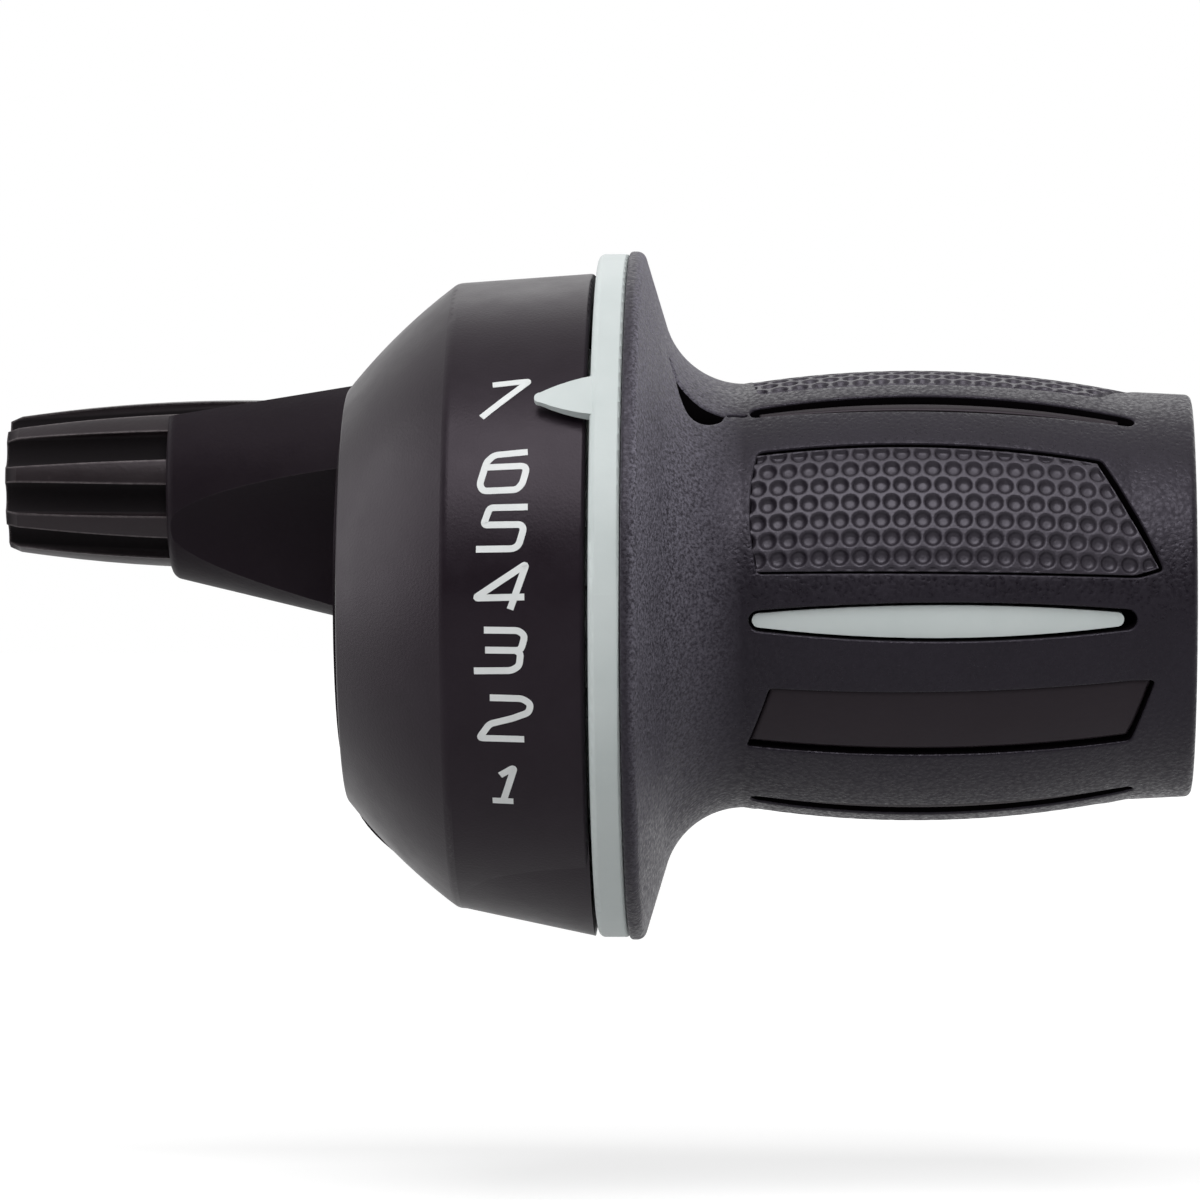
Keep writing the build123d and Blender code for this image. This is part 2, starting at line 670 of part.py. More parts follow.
with BuildPart() as clamp_bolt:
    with BuildSketch(Plane.XZ.offset(-head_y)):
        with Locations((BOLT_X, BOLT_Z)):
            Circle(BOLT_R)
    extrude(amount=2 * head_y + NUT_T + BOLT_OVER)
    with BuildSketch(Plane.XZ.offset(-head_y)):
        with Locations((BOLT_X, BOLT_Z)):
            Circle(BOLT_HEAD_R)
    extrude(amount=-BOLT_HEAD_T)
    chamfer(clamp_bolt.edges().sort_by(Axis.Y)[-1], length=BOLT_HEAD_BEVEL)
    with BuildSketch(Plane.XZ.offset(-head_y - BOLT_HEAD_T)):
        with Locations((BOLT_X, BOLT_Z)):
            RegularPolygon(radius=BOLT_KEY / 2, side_count=6, major_radius=False)
    extrude(amount=BOLT_KEY_DEEP, mode=Mode.SUBTRACT)
clamp_bolt.part.label = "clamp_bolt"
export_step(clamp_bolt.part, "parts/clamp_bolt.step")

with BuildPart() as clamp_nut:
    with BuildSketch(Plane.XZ.offset(head_y)):
        with Locations((BOLT_X, BOLT_Z)):
            Circle(NUT_R)
            Circle(BOLT_R + FACE_GAP, mode=Mode.SUBTRACT)
    extrude(amount=NUT_T)
clamp_nut.part.label = "clamp_nut"
export_step(clamp_nut.part, "parts/clamp_nut.step")

# Thrust washer between the bulkhead and the spool
with BuildPart() as thrust_washer:
    with BuildSketch(Plane.YZ.offset(CHAMBER_X + FACE_GAP)):
        Circle(SPOOL_R)
        Circle(BARREL_BORE_R, mode=Mode.SUBTRACT)
    extrude(amount=BARREL_X - CHAMBER_X - FACE_GAP - BAR_ROOM)
thrust_washer.part.label = "thrust_washer"
export_step(thrust_washer.part, "parts/thrust_washer.step")

# Cable guide: a quarter of a grooved wheel that turns the cable from the adjuster to the spool
with BuildPart() as cable_guide:
    along = (0, -sin(radians(ADJ_ANGLE)), cos(radians(ADJ_ANGLE)))
    square = (0, -along[2], along[1])
    guide_at = (CHAMBER_X + FACE_GAP, ADJ_Y + GUIDE_BEND_R * along[1], ADJ_Z + GUIDE_BEND_R * along[2])
    with BuildSketch(Plane(origin=guide_at, x_dir=(1, 0, 0), z_dir=square)):
        Circle(GUIDE_R)
        Rectangle(GUIDE_R, GUIDE_R, align=(Align.MIN, Align.MAX), mode=Mode.INTERSECT)
    extrude(amount=GUIDE_T / 2, both=True)
    with BuildSketch(Plane(origin=guide_at, x_dir=(1, 0, 0), z_dir=along)):
        with Locations((GUIDE_R, 0)):
            Circle(GUIDE_GROOVE_R)
    revolve(axis=Axis(guide_at, square), mode=Mode.SUBTRACT)
cable_guide.part.label = "cable_guide"
export_step(cable_guide.part, "parts/cable_guide.step")

# Detent leaf: a steel strip in the drum whose bump drops into the notches
with BuildPart() as detent_spring:
    bump_at = around(LEAF_ANGLE, DETENT_R + NOTCH_OUT)
    with BuildSketch(meridian(LEAF_ANGLE + LEAF_HALF_ARC)):
        with Locations((LEAF_X, LEAF_R - LEAF_T / 2)):
            Rectangle(LEAF_W, LEAF_T, align=(Align.MIN, Align.MIN))
    revolve(axis=Axis.X, revolution_arc=2 * LEAF_HALF_ARC)
    with BuildSketch(Plane.YZ.offset(LEAF_X)):
        with Locations(bump_at):
            Circle(LEAF_BUMP_R)
    extrude(amount=LEAF_W)
    with BuildSketch(Plane.YZ.offset(LEAF_X)):
        with Locations(Location(bump_at, 90 - LEAF_ANGLE)):
            SlotCenterPoint((0, DETENT_GAP), (0, 0), 2 * (LEAF_BUMP_R - LEAF_T))
    extrude(amount=LEAF_W, mode=Mode.SUBTRACT)
detent_spring.part.label = "detent_spring"
export_step(detent_spring.part, "parts/detent_spring.step")

# Adjuster: fluted knob on a hollow stem, turned in the insert against a spring
with BuildPart() as barrel_adjuster:
    knob_wall_x = KNOB_END_X - KNOB_PLAIN
    tip_wall_x = KNOB_TIP_X + KNOB_TIP_BEVEL[0]
    for flute_x, flute_r in ((KNOB_TIP_X, KNOB_TIP_R), (KNOB_END_X, KNOB_R + FLUTE_LIFT)):
        with BuildSketch(Plane.YZ.offset(flute_x)):
            with Locations(Location((ADJ_Y, ADJ_Z), FLUTE_TURN)):
                Circle(flute_r + FLUTE_DEPTH)
                with PolarLocations(flute_r + FLUTE_R - FLUTE_DEPTH, FLUTES):
                    Circle(FLUTE_R, mode=Mode.SUBTRACT)
    loft(ruled=True)
    with BuildSketch(adjuster_section):
        with BuildLine():
            swell_at = ((tip_wall_x + knob_wall_x) / 2, (KNOB_TIP_R + KNOB_R) / 2 + KNOB_SWELL)
            Polyline(
                (KNOB_TIP_X, 0),
                (KNOB_TIP_X, KNOB_TIP_R - KNOB_TIP_BEVEL[1]),
                (tip_wall_x, KNOB_TIP_R),
            )
            ThreePointArc((tip_wall_x, KNOB_TIP_R), swell_at, (knob_wall_x, KNOB_R))
            Polyline((knob_wall_x, KNOB_R), (KNOB_END_X, KNOB_R), (KNOB_END_X, 0), (KNOB_TIP_X, 0))
        make_face()
    revolve(axis=adjuster_axis, mode=Mode.INTERSECT)
    with BuildSketch(Plane.YZ.offset(KNOB_END_X - CUT_UNDER)):
        with Locations((ADJ_Y, ADJ_Z)):
            Circle(STEM_R)
    extrude(amount=STEM_END_X - KNOB_END_X + CUT_UNDER)
    with BuildSketch(Plane.YZ.offset(KNOB_TIP_X)):
        with Locations((ADJ_Y, ADJ_Z)):
            Circle(SOCKET_R)
    extrude(amount=SOCKET_DEEP, mode=Mode.SUBTRACT)
    with BuildSketch(Plane.YZ.offset(KNOB_TIP_X)):
        with Locations((ADJ_Y, ADJ_Z)):
            Circle(CABLE_HOLE_R)
    extrude(amount=STEM_END_X - KNOB_TIP_X, mode=Mode.SUBTRACT)
barrel_adjuster.part.label = "barrel_adjuster"
export_step(barrel_adjuster.part, "parts/barrel_adjuster.step")

with BuildPart() as adjuster_insert:
    with BuildSketch(Plane.YZ.offset(SPOUT_BORE_X)):
        with Locations((ADJ_Y, ADJ_Z)):
            Circle(INSERT_R - FACE_GAP / 2)
            Circle(STEM_R + FACE_GAP, mode=Mode.SUBTRACT)
    extrude(amount=INSERT_END_X - SPOUT_BORE_X - FACE_GAP)
adjuster_insert.part.label = "adjuster_insert"
export_step(adjuster_insert.part, "parts/adjuster_insert.step")

with BuildPart() as adjuster_washer:
    with BuildSketch(Plane.YZ.offset(WASHER_X)):
        with Locations((ADJ_Y, ADJ_Z)):
            Circle(SPOUT_BORE_R - WASHER_ROOM)
            Rectangle(SPOUT_BORE_R + KEY_TALL, KEY_W, align=(Align.MIN, Align.CENTER))
            Circle(STEM_R + STEM_ROOM, mode=Mode.SUBTRACT)
    extrude(amount=WASHER_T)
adjuster_washer.part.label = "adjuster_washer"
export_step(adjuster_washer.part, "parts/adjuster_washer.step")

with BuildPart() as adjuster_spring:
    coil_x = WASHER_X + WASHER_T + SPRING_WIRE_R + FACE_GAP
    coil_long = SPOUT_BORE_X - SPRING_WIRE_R - FACE_GAP - coil_x
    with BuildLine() as coil:
        Helix(
            pitch=coil_long / SPRING_TURNS,
            height=coil_long,
            radius=SPRING_R,
            center=(coil_x, ADJ_Y, ADJ_Z),
            direction=(1, 0, 0),
        )
    with BuildSketch(Plane(origin=coil.line @ 0, z_dir=coil.line % 0)):
        RegularPolygon(radius=SPRING_WIRE_R, side_count=6)
    sweep()
adjuster_spring.part.label = "adjuster_spring"
export_step(adjuster_spring.part, "parts/adjuster_spring.step")

# Pointer: a tapered finger of the ring that hangs over the numerals
with BuildPart() as pointer:
    pointer_out_r = RING_R - POINTER_STEP
    root_x = RING_X + CUT_UNDER
    with BuildSketch(meridian(0)):
        with BuildLine():
            Polyline(
                (POINTER_TIP_X - CUT_UNDER, POINTER_IN_R),
                (root_x, POINTER_IN_R),
                (root_x, pointer_out_r),
                (POINTER_TIP_X - CUT_UNDER, pointer_out_r - POINTER_TAPER),
                close=True,
            )
        make_face()
    revolve(axis=Axis.X)
    with BuildSketch(facing(GEAR_ANGLES[0] - POINTER_LAG, POINTER_IN_R - CUT_LONG / 2)):
        with BuildLine():
            tip_half = POINTER_TIP_W / 2
            root_half = POINTER_ROOT_W / 2
            tip_x = POINTER_TIP_X + tip_half
            mid_x = (POINTER_TIP_X + RING_X) / 2
            mid_half = tip_half + (root_half - tip_half) * POINTER_WAIST
            ThreePointArc((tip_x, -tip_half), (POINTER_TIP_X, 0), (tip_x, tip_half))
            Spline((tip_x, tip_half), (mid_x, mid_half), (root_x, root_half))
            Line((root_x, root_half), (root_x, -root_half))
            Spline((root_x, -root_half), (mid_x, -mid_half), (tip_x, -tip_half))
        make_face()
    extrude(amount=CUT_LONG, mode=Mode.INTERSECT)

# Lens: a raised strip of the barrel that shows through the rubber
with BuildPart() as lens:
    with BuildSketch(facing(GROOVE_FRONT, TUBE_R - CUT_UNDER)):
        with BuildLine():
            bowed_slot(LENS_X, LENS_W, LENS_END_W)
        make_face()
    extrude(amount=CUT_LONG)
    with BuildSketch(meridian(0)):
        with BuildLine():
            crown = bow_points(LENS_SUNK)
            lens_foot_r = TUBE_R - CUT_UNDER
            ThreePointArc(*crown)
            Polyline(crown[2], (BOW_END_X, lens_foot_r), (NECK_X, lens_foot_r), crown[0])
        make_face()
    revolve(axis=Axis.X, mode=Mode.INTERSECT)

# Grip barrel: tube, cable spool, detent ring, the visible ring with its pointer, and the lens
with BuildPart() as grip_barrel:
    spool_flange_r = SPOOL_R + SPOOL_FLANGE
    ring_end_x = RING_X + RING_W
    with BuildSketch(meridian(0)) as barrel_section:
        with BuildLine():
            Polyline(
                (BARREL_X, BARREL_BORE_R),
                (BARREL_X, spool_flange_r),
                (BARREL_X + SPOOL_FLANGE_T, spool_flange_r),
                (BARREL_X + SPOOL_FLANGE_T, SPOOL_R),
                (CABLE_X - CABLE_GROOVE_W / 2, SPOOL_R),
                (CABLE_X - CABLE_GROOVE_W / 2, CABLE_GROOVE_R),
                (CABLE_X + CABLE_GROOVE_W / 2, CABLE_GROOVE_R),
                (CABLE_X + CABLE_GROOVE_W / 2, SPOOL_R),
                (DETENT_X, SPOOL_R),
                (DETENT_X, DETENT_R),
                (RING_X, DETENT_R),
                (RING_X, RING_R),
                (ring_end_x, RING_R),
                (ring_end_x, TUBE_R),
                (TUBE_END_X, TUBE_R),
                (TUBE_END_X, BARREL_BORE_R),
                close=True,
            )
        make_face()
        fillet(corner(barrel_section, RING_X, RING_R), radius=RING_FILLET)
        fillet(corner(barrel_section, ring_end_x, RING_R), radius=RING_FILLET / 2)
    revolve(axis=Axis.X)
    add(pointer.part)
    add(lens.part)
    # One notch for each gear
    notch_angles = [LEAF_ANGLE + GEAR_ANGLES[0] - gear for gear in GEAR_ANGLES]
    with BuildSketch(Plane.YZ.offset(DETENT_X)):
        with Locations(*[around(angle, DETENT_R + NOTCH_OUT) for angle in notch_angles]):
            Circle(NOTCH_R)
    extrude(amount=DETENT_W, mode=Mode.SUBTRACT)
    # Seat of the cable's head, open towards the port, and the hole that leads to the groove
    head_seat_x = DETENT_X + CABLE_HEAD_FLOOR
    with BuildSketch(Plane.YZ.offset(head_seat_x)):
        with Locations(around(PORT_ANGLE, CABLE_HEAD_AT_R)):
            Circle(CABLE_HEAD_R)
    extrude(amount=ring_end_x - head_seat_x, mode=Mode.SUBTRACT)
    with BuildSketch(Plane.YZ.offset(CABLE_X)):
        with Locations(around(PORT_ANGLE, CABLE_EXIT_R)):
            Circle(CABLE_HOLE_R)
    extrude(amount=head_seat_x + CUT_UNDER - CABLE_X, mode=Mode.SUBTRACT)
grip_barrel.part.label = "grip_barrel"
export_step(grip_barrel.part, "parts/grip_barrel.step")

# Cutters for the rubber: each outline is cut to a constant depth under the bowed surface
with BuildPart() as grooves:
    with BuildSketch(*[facing(angle, RUBBER_IN_R - CUT_UNDER) for angle in groove_angles]):
        with BuildLine():
            bowed_slot(GROOVE_X, GROOVE_W, GROOVE_END_W)
        make_face()
    with BuildSketch(facing(GROOVE_FRONT, RUBBER_IN_R - CUT_UNDER)):
        with BuildLine():
            bowed_slot(GROOVE_X, LENS_W + 2 * LENS_ROOM, LENS_END_W + 2 * LENS_ROOM)
        make_face()
    extrude(amount=CUT_LONG)
    with BuildSketch(meridian(0)):
        with BuildLine():
            floor = bow_points(GROOVE_DEPTH)
            end_r = GRIP_END_R - GROOVE_DEPTH
            ThreePointArc(*floor)
            Polyline(floor[2], (GRIP_END_X, end_r), (GRIP_END_X, RING_R), (NECK_X, RING_R), floor[0])
        make_face()
    revolve(axis=Axis.X, mode=Mode.INTERSECT)

with BuildPart() as panels:
    with BuildSketch(*[facing(angle, RUBBER_IN_R - CUT_UNDER) for angle in PANEL_ANGLES]):
        with BuildLine():
            panel_mid = (PANEL_X[0] + PANEL_X[1]) / 2
            end_half = PANEL_HALF_W - PANEL_END_IN
            start_low = (PANEL_X[0], -PANEL_HALF_W)
            start_high = (PANEL_X[0], PANEL_HALF_W)
            end_low = (PANEL_X[1] - PANEL_TIP_LONG, PANEL_LOW_IN - PANEL_HALF_W)
            end_tip = (PANEL_X[1], PANEL_TIP_RISE - PANEL_HALF_W)
            end_high = (PANEL_X[1] - PANEL_SLANT, end_half)
            ThreePointArc(start_low, (panel_mid, -PANEL_HALF_W - PANEL_SWELL), end_low)
            Polyline(end_low, end_tip, end_high)
            ThreePointArc(end_high, (panel_mid, PANEL_HALF_W + PANEL_SWELL), start_high)
            ThreePointArc(start_high, (PANEL_X[0] - PANEL_END_IN, 0), start_low)
        make_face()
    extrude(amount=CUT_LONG)
    with BuildSketch(meridian(0)):
        with BuildLine():
            floor = bow_points(PANEL_DEPTH)
            end_r = GRIP_END_R - PANEL_DEPTH
            ThreePointArc(*floor)
            Polyline(floor[2], (GRIP_END_X, end_r), (GRIP_END_X, RING_R), (NECK_X, RING_R), floor[0])
        make_face()
    revolve(axis=Axis.X, mode=Mode.INTERSECT)

with BuildPart() as plate:
    with BuildSketch(facing(PLATE_ANGLE, RUBBER_IN_R - CUT_UNDER)) as plate_outline:
        with BuildLine():
            plate_mid = (PLATE_X[0] + PLATE_X[1]) / 2
            plate_edge = PLATE_HALF_W + PLATE_SWELL
            high_start = (PLATE_X[0] + PLATE_SLANT, PLATE_HALF_W)
            high_end = (PLATE_X[1] + PLATE_SLANT, PLATE_HALF_W)
            low_start = (PLATE_X[0], -PLATE_HALF_W)
            low_end = (PLATE_X[1], -PLATE_HALF_W)
            ThreePointArc(high_start, (plate_mid + PLATE_SLANT, plate_edge), high_end)
            Line(high_end, low_end)
            ThreePointArc(low_end, (plate_mid, -plate_edge), low_start)
            Line(low_start, high_start)
        make_face()
        fillet(plate_outline.vertices(), radius=OUTLINE_FILLET)
    extrude(amount=CUT_LONG)
    with BuildSketch(meridian(0)):
        with BuildLine():
            floor = bow_points(PLATE_DEPTH)
            end_r = GRIP_END_R - PLATE_DEPTH
            ThreePointArc(*floor)
            Polyline(floor[2], (GRIP_END_X, end_r), (GRIP_END_X, RING_R), (NECK_X, RING_R), floor[0])
        make_face()
    revolve(axis=Axis.X, mode=Mode.INTERSECT)

# Rubber grip cover: flange, funnel, bowed grip with its pattern, and plain end
with BuildPart() as grip_cover:
    bow = bow_points(0)
    flank = (FLANK_RUN, -FLANK_DROP)
    with BuildSketch(meridian(0)) as rubber_section:
        with BuildLine():
            Polyline(
                (FLANGE_X, RUBBER_IN_R),
                (FLANGE_X, FLANGE_R),
                (FLANK_X, FLANGE_R),
                (FUNNEL_X, FUNNEL_R),
            )
            TangentArc((FUNNEL_X, FUNNEL_R), bow[0], tangent=flank)
            ThreePointArc(*bow)
            Polyline(
                bow[2],
                (GRIP_END_X, GRIP_END_R),
                (GRIP_END_X, RUBBER_IN_R),
                (FLANGE_X, RUBBER_IN_R),
            )
        make_face()
        fillet(corner(rubber_section, FLANK_X, FLANGE_R), radius=FLANGE_FILLET)
        fillet(corner(rubber_section, GRIP_END_X, GRIP_END_R), radius=END_FILLET)
    revolve(axis=Axis.X)
    add(grooves.part, mode=Mode.SUBTRACT)
    add(panels.part, mode=Mode.SUBTRACT)
    add(plate.part, mode=Mode.SUBTRACT)
    # Window for the lens
    with BuildSketch(facing(GROOVE_FRONT, RUBBER_IN_R - CUT_UNDER)):
        with BuildLine():
            bowed_slot(LENS_X, LENS_W, LENS_END_W, LENS_GAP)
        make_face()
    extrude(amount=CUT_LONG, mode=Mode.SUBTRACT)
    # Port for the cable under the lip of the flap, with its passage to the barrel
    with BuildSketch(facing(PORT_ANGLE, RUBBER_IN_R + PORT_FLOOR)):
        with BuildLine():
            Spline(*[(PORT_X + x, y) for x, y in PORT_LOW_EDGE])
            Spline(*[(PORT_X + x, y) for x, y in PORT_HIGH_EDGE])
        make_face()
    extrude(amount=FLANGE_R - RUBBER_IN_R, mode=Mode.SUBTRACT)
    with BuildSketch(Plane.YZ.offset(FLANGE_X)):
        with Locations(around(PORT_ANGLE, CABLE_HEAD_AT_R)):
            Circle(PASSAGE_R)
    extrude(amount=PASSAGE_LONG, mode=Mode.SUBTRACT)
    # Seam of the flap down the funnel to the upper groove
    with BuildSketch(meridian(SEAM_ANGLE + SEAM_ARC / 2)):
        with BuildLine():
            seam_start = (FLANK_X - SEAM_DEPTH, FLANGE_R - FLANGE_FILLET)
            seam_turn = (FUNNEL_X - SEAM_DEPTH, FUNNEL_R - SEAM_DEPTH)
            seam_neck = (NECK_X - SEAM_DEPTH, NECK_R - SEAM_DEPTH)
            seam_end = (NECK_X + SEAM_PAST_NECK, NECK_R - SEAM_DEPTH)
            seam_top_r = FLANGE_R + CUT_UNDER
            seam_tops = ((seam_end[0], seam_top_r), (seam_start[0], seam_top_r))
            Line(seam_start, seam_turn)
            TangentArc(seam_turn, seam_neck, tangent=flank)
            Polyline(seam_neck, seam_end, *seam_tops, seam_start)
        make_face()
    revolve(axis=Axis.X, revolution_arc=SEAM_ARC, mode=Mode.SUBTRACT)
grip_cover.part.label = "grip_cover"
export_step(grip_cover.part, "parts/grip_cover.step")
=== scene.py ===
import json
import math

import bpy
import numpy as np
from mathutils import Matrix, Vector, geometry

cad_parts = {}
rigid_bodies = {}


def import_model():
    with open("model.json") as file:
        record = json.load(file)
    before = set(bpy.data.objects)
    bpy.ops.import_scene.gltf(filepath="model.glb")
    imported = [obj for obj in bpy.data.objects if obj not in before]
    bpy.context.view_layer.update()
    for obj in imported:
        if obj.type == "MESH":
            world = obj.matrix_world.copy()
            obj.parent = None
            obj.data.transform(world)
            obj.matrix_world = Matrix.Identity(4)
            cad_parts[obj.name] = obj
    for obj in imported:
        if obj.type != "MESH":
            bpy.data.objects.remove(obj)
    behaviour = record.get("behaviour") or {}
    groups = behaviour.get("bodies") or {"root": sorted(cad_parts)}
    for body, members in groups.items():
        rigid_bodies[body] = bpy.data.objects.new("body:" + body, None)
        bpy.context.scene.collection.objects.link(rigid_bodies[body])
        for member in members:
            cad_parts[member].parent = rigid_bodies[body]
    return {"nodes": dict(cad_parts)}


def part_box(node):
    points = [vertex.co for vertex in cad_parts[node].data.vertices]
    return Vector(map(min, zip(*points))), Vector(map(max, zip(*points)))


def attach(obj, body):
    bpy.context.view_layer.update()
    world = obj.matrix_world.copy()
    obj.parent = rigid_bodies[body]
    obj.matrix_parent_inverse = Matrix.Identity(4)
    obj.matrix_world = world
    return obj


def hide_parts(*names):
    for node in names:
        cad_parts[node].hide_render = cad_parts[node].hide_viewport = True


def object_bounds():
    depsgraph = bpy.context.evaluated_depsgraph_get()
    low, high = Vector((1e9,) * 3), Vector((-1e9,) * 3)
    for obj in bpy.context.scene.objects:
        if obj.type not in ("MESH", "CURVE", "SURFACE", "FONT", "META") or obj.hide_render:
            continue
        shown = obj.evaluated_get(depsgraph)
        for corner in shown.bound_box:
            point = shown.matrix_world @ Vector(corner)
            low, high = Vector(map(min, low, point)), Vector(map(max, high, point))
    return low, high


for leftover in list(bpy.data.objects):
    bpy.data.objects.remove(leftover)
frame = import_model()
cad_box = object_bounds()

# The part's sizes are in millimetres here. X runs along the bar, and angles turn up from the near side.
MM = 0.001
rubber_low, rubber_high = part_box("grip_cover")
cover_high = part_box("indicator_cover")[1]
knob_low, knob_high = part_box("barrel_adjuster")

# Section of the rubber: flange, steep flank, funnel, bowed grip.
FLANGE_X = rubber_low.x / MM
FLANGE_R = rubber_high.z / MM
GRIP_END_X = rubber_high.x / MM
GRIP_END_R = 15.6
FLANK = (FLANGE_X + 1.05, FLANGE_R)
FUNNEL = (FLANGE_X + 2.8, 21.0)
NECK = (GRIP_END_X - 34.7, 16.5)
CREST = (NECK[0] + 13.7, 17.55)
BOW_END = (GRIP_END_X - 5.0, 15.85)
BORE_R = 13.8
BACK_EDGE_R = 0.25
FLANGE_EDGE_R = 0.7
END_EDGE_R = 0.5

# Recesses in the rubber.
LIP = 0.16
GROOVE_X = (NECK[0] + 0.6, BOW_END[0] + 0.4)
GROOVE_HALF = 1.15
GROOVE_END_HALF = 0.65
GROOVE_DEPTH = 1.9
GROOVE_ANGLES = (57.3, 115.3, 173.3, 231.3, 289.3)
LENS_ANGLE = -6.7
LENS_SLOT_HALF = 1.5
LENS_SLOT_END_HALF = 0.8
LENS_BED_R = BORE_R + 0.1
# Each panel's angle, and 1 or -1 for the side on which it is longer.
PANELS = ((23.2, 1), (86.0, -1), (144.0, 1), (202.0, -1), (260.0, 1))
PANEL_X = (NECK[0] + 1.3, NECK[0] + 32.1)
PANEL_HALF = 5.05
PANEL_BED = 1.5
PAD_DEPTH = 0.06
PAD_TOP_GAP = 0.33
PAD_BASE_GAP = 0.16
PAD_END_GAP = 0.38
PLATE_ANGLE = -34.6
PLATE_X = (NECK[0] + 0.4, BOW_END[0] + 1.8)
PLATE_HALF = 2.8
PLATE_SLANT = 1.8
PLATE_BED = 1.6
PLATE_DEPTH = 0.3
PLATE_GAP = 0.42
PLATE_END_GAP = 0.3
PLATE_EDGE = 0.3
PLATE_EDGE_DROP = 0.14
PORT_ANGLE = 52.5
PORT_X = FLANGE_X + 3.75
PORT_DEPTH = 9.0
FLANK_SEAM_ANGLE = 61.5
NECK_SEAM_ANGLE = 56.3
SEAM_HALF = 0.13
SEAM_DEPTH = 0.35
LENS_SLOT_DEPTH = 9.0
# How far inwards each recess reaches its floor.
GROOVE_WALL = 0.25
PANEL_WALL = 0.1
PORT_WALL = 0.12
SEAM_WALL = 0.08
RIB_HALF = 0.47
RIB_END_HALF = 0.3
RIB_DEPTH = 0.32
RIB_GAPS = (0.7, 1.2)
RIB_ROUND = 0.12
# How far pads, ribs and the plate reach under the floors of their recesses.
UNDERLAP = 0.2
# Rubber deeper than this takes the painted shade of the recess finish.
SHADE_DEPTH = 0.5

# Hexagonal field of dimples on the panels.
DIMPLE_PITCH = 1.57
DIMPLE_ROW = 1.46
DIMPLE_FIRST = (NECK[0] + 2.84, -4.12)
DIMPLE_RIM = 0.67
DIMPLE_DEPTH = 0.4
DIMPLE_CLEAR = 0.22

# Numbered band and its numerals, one for each gear.
BAND_START = (8.65, 24.35)
BAND_END = (cover_high.x / MM, 25.1)
GEAR_ANGLES = (36.8, 22.2, 11.9, 1.5, -9.6, -22.0, -35.4)
NUMERAL_X = 13.1
NUMERAL_STROKE = 0.51
NUMERAL_PROUD = 0.03
NUMERAL_SUNK = 0.05
STROKE_STEP = 0.008


def unit(vector):
    return vector / np.linalg.norm(vector)


def pair(point):
    return np.array(point, float)


def straight(start, end, count=40):
    """Points of a straight run."""
    share = np.linspace(0, 1, count)[:, None]
    return pair(start) * (1 - share) + pair(end) * share


def arc_about(centre, start, end, count=60):
    """Points of the arc from start to end, the short way round its centre."""
    first = math.atan2(*(start - centre)[::-1])
    last = math.atan2(*(end - centre)[::-1])
    sweep = (last - first + math.pi) % (2 * math.pi) - math.pi
    turn = first + sweep * np.linspace(0, 1, count)
    return centre + np.linalg.norm(start - centre) * np.column_stack([np.cos(turn), np.sin(turn)])


def arc_through(start, middle, end, count=120):
    """Points of the arc through three points."""
    start, middle, end = pair(start), pair(middle), pair(end)
    rows = 2 * np.array([middle - start, end - start])
    sides = np.array([middle @ middle - start @ start, end @ end - start @ start])
    centre = np.linalg.solve(rows, sides)
    first = arc_about(centre, start, middle, count // 2)
    return np.vstack([first[:-1], arc_about(centre, middle, end, count // 2)])


def tangent_arc(start, heading, end, count=160):
    """Points of the arc that leaves start along heading and reaches end."""
    start, end = pair(start), pair(end)
    side = np.array([-heading[1], heading[0]])
    apart = start - end
    centre = start - side * (apart @ apart) / (2 * side @ apart)
    return arc_about(centre, start, end, count)


def rounded_corner(before, corner, after, radius, count=16):
    """Points of the arc that rounds a corner between two straight runs."""
    corner = pair(corner)
    into = unit(pair(before) - corner)
    away = unit(pair(after) - corner)
    half = 0.5 * math.acos(into @ away)
    reach = radius / math.tan(half)
    centre = corner + unit(into + away) * radius / math.sin(half)
    return arc_about(centre, corner + into * reach, corner + away * reach, count)


def smooth_curve(points, count=60):
    """Points of a soft curve through a few chosen ones."""
    points = np.array(points, float)
    padded = np.vstack([2 * points[0] - points[1], points, 2 * points[-1] - points[-2]])
    place = np.linspace(0, len(points) - 1, count)
    index = np.minimum(place.astype(int), len(points) - 2)
    share = (place - index)[:, None]
    a, b, c, d = (padded[index + shift] for shift in range(4))
    return 0.5 * (2 * b + (c - a) * share + (2 * a - 5 * b + 4 * c - d) * share**2
                  + (3 * b - 3 * c + d - a) * share**3)


def soft_step(value):
    value = np.clip(value, 0, 1)
    return value * value * (3 - 2 * value)


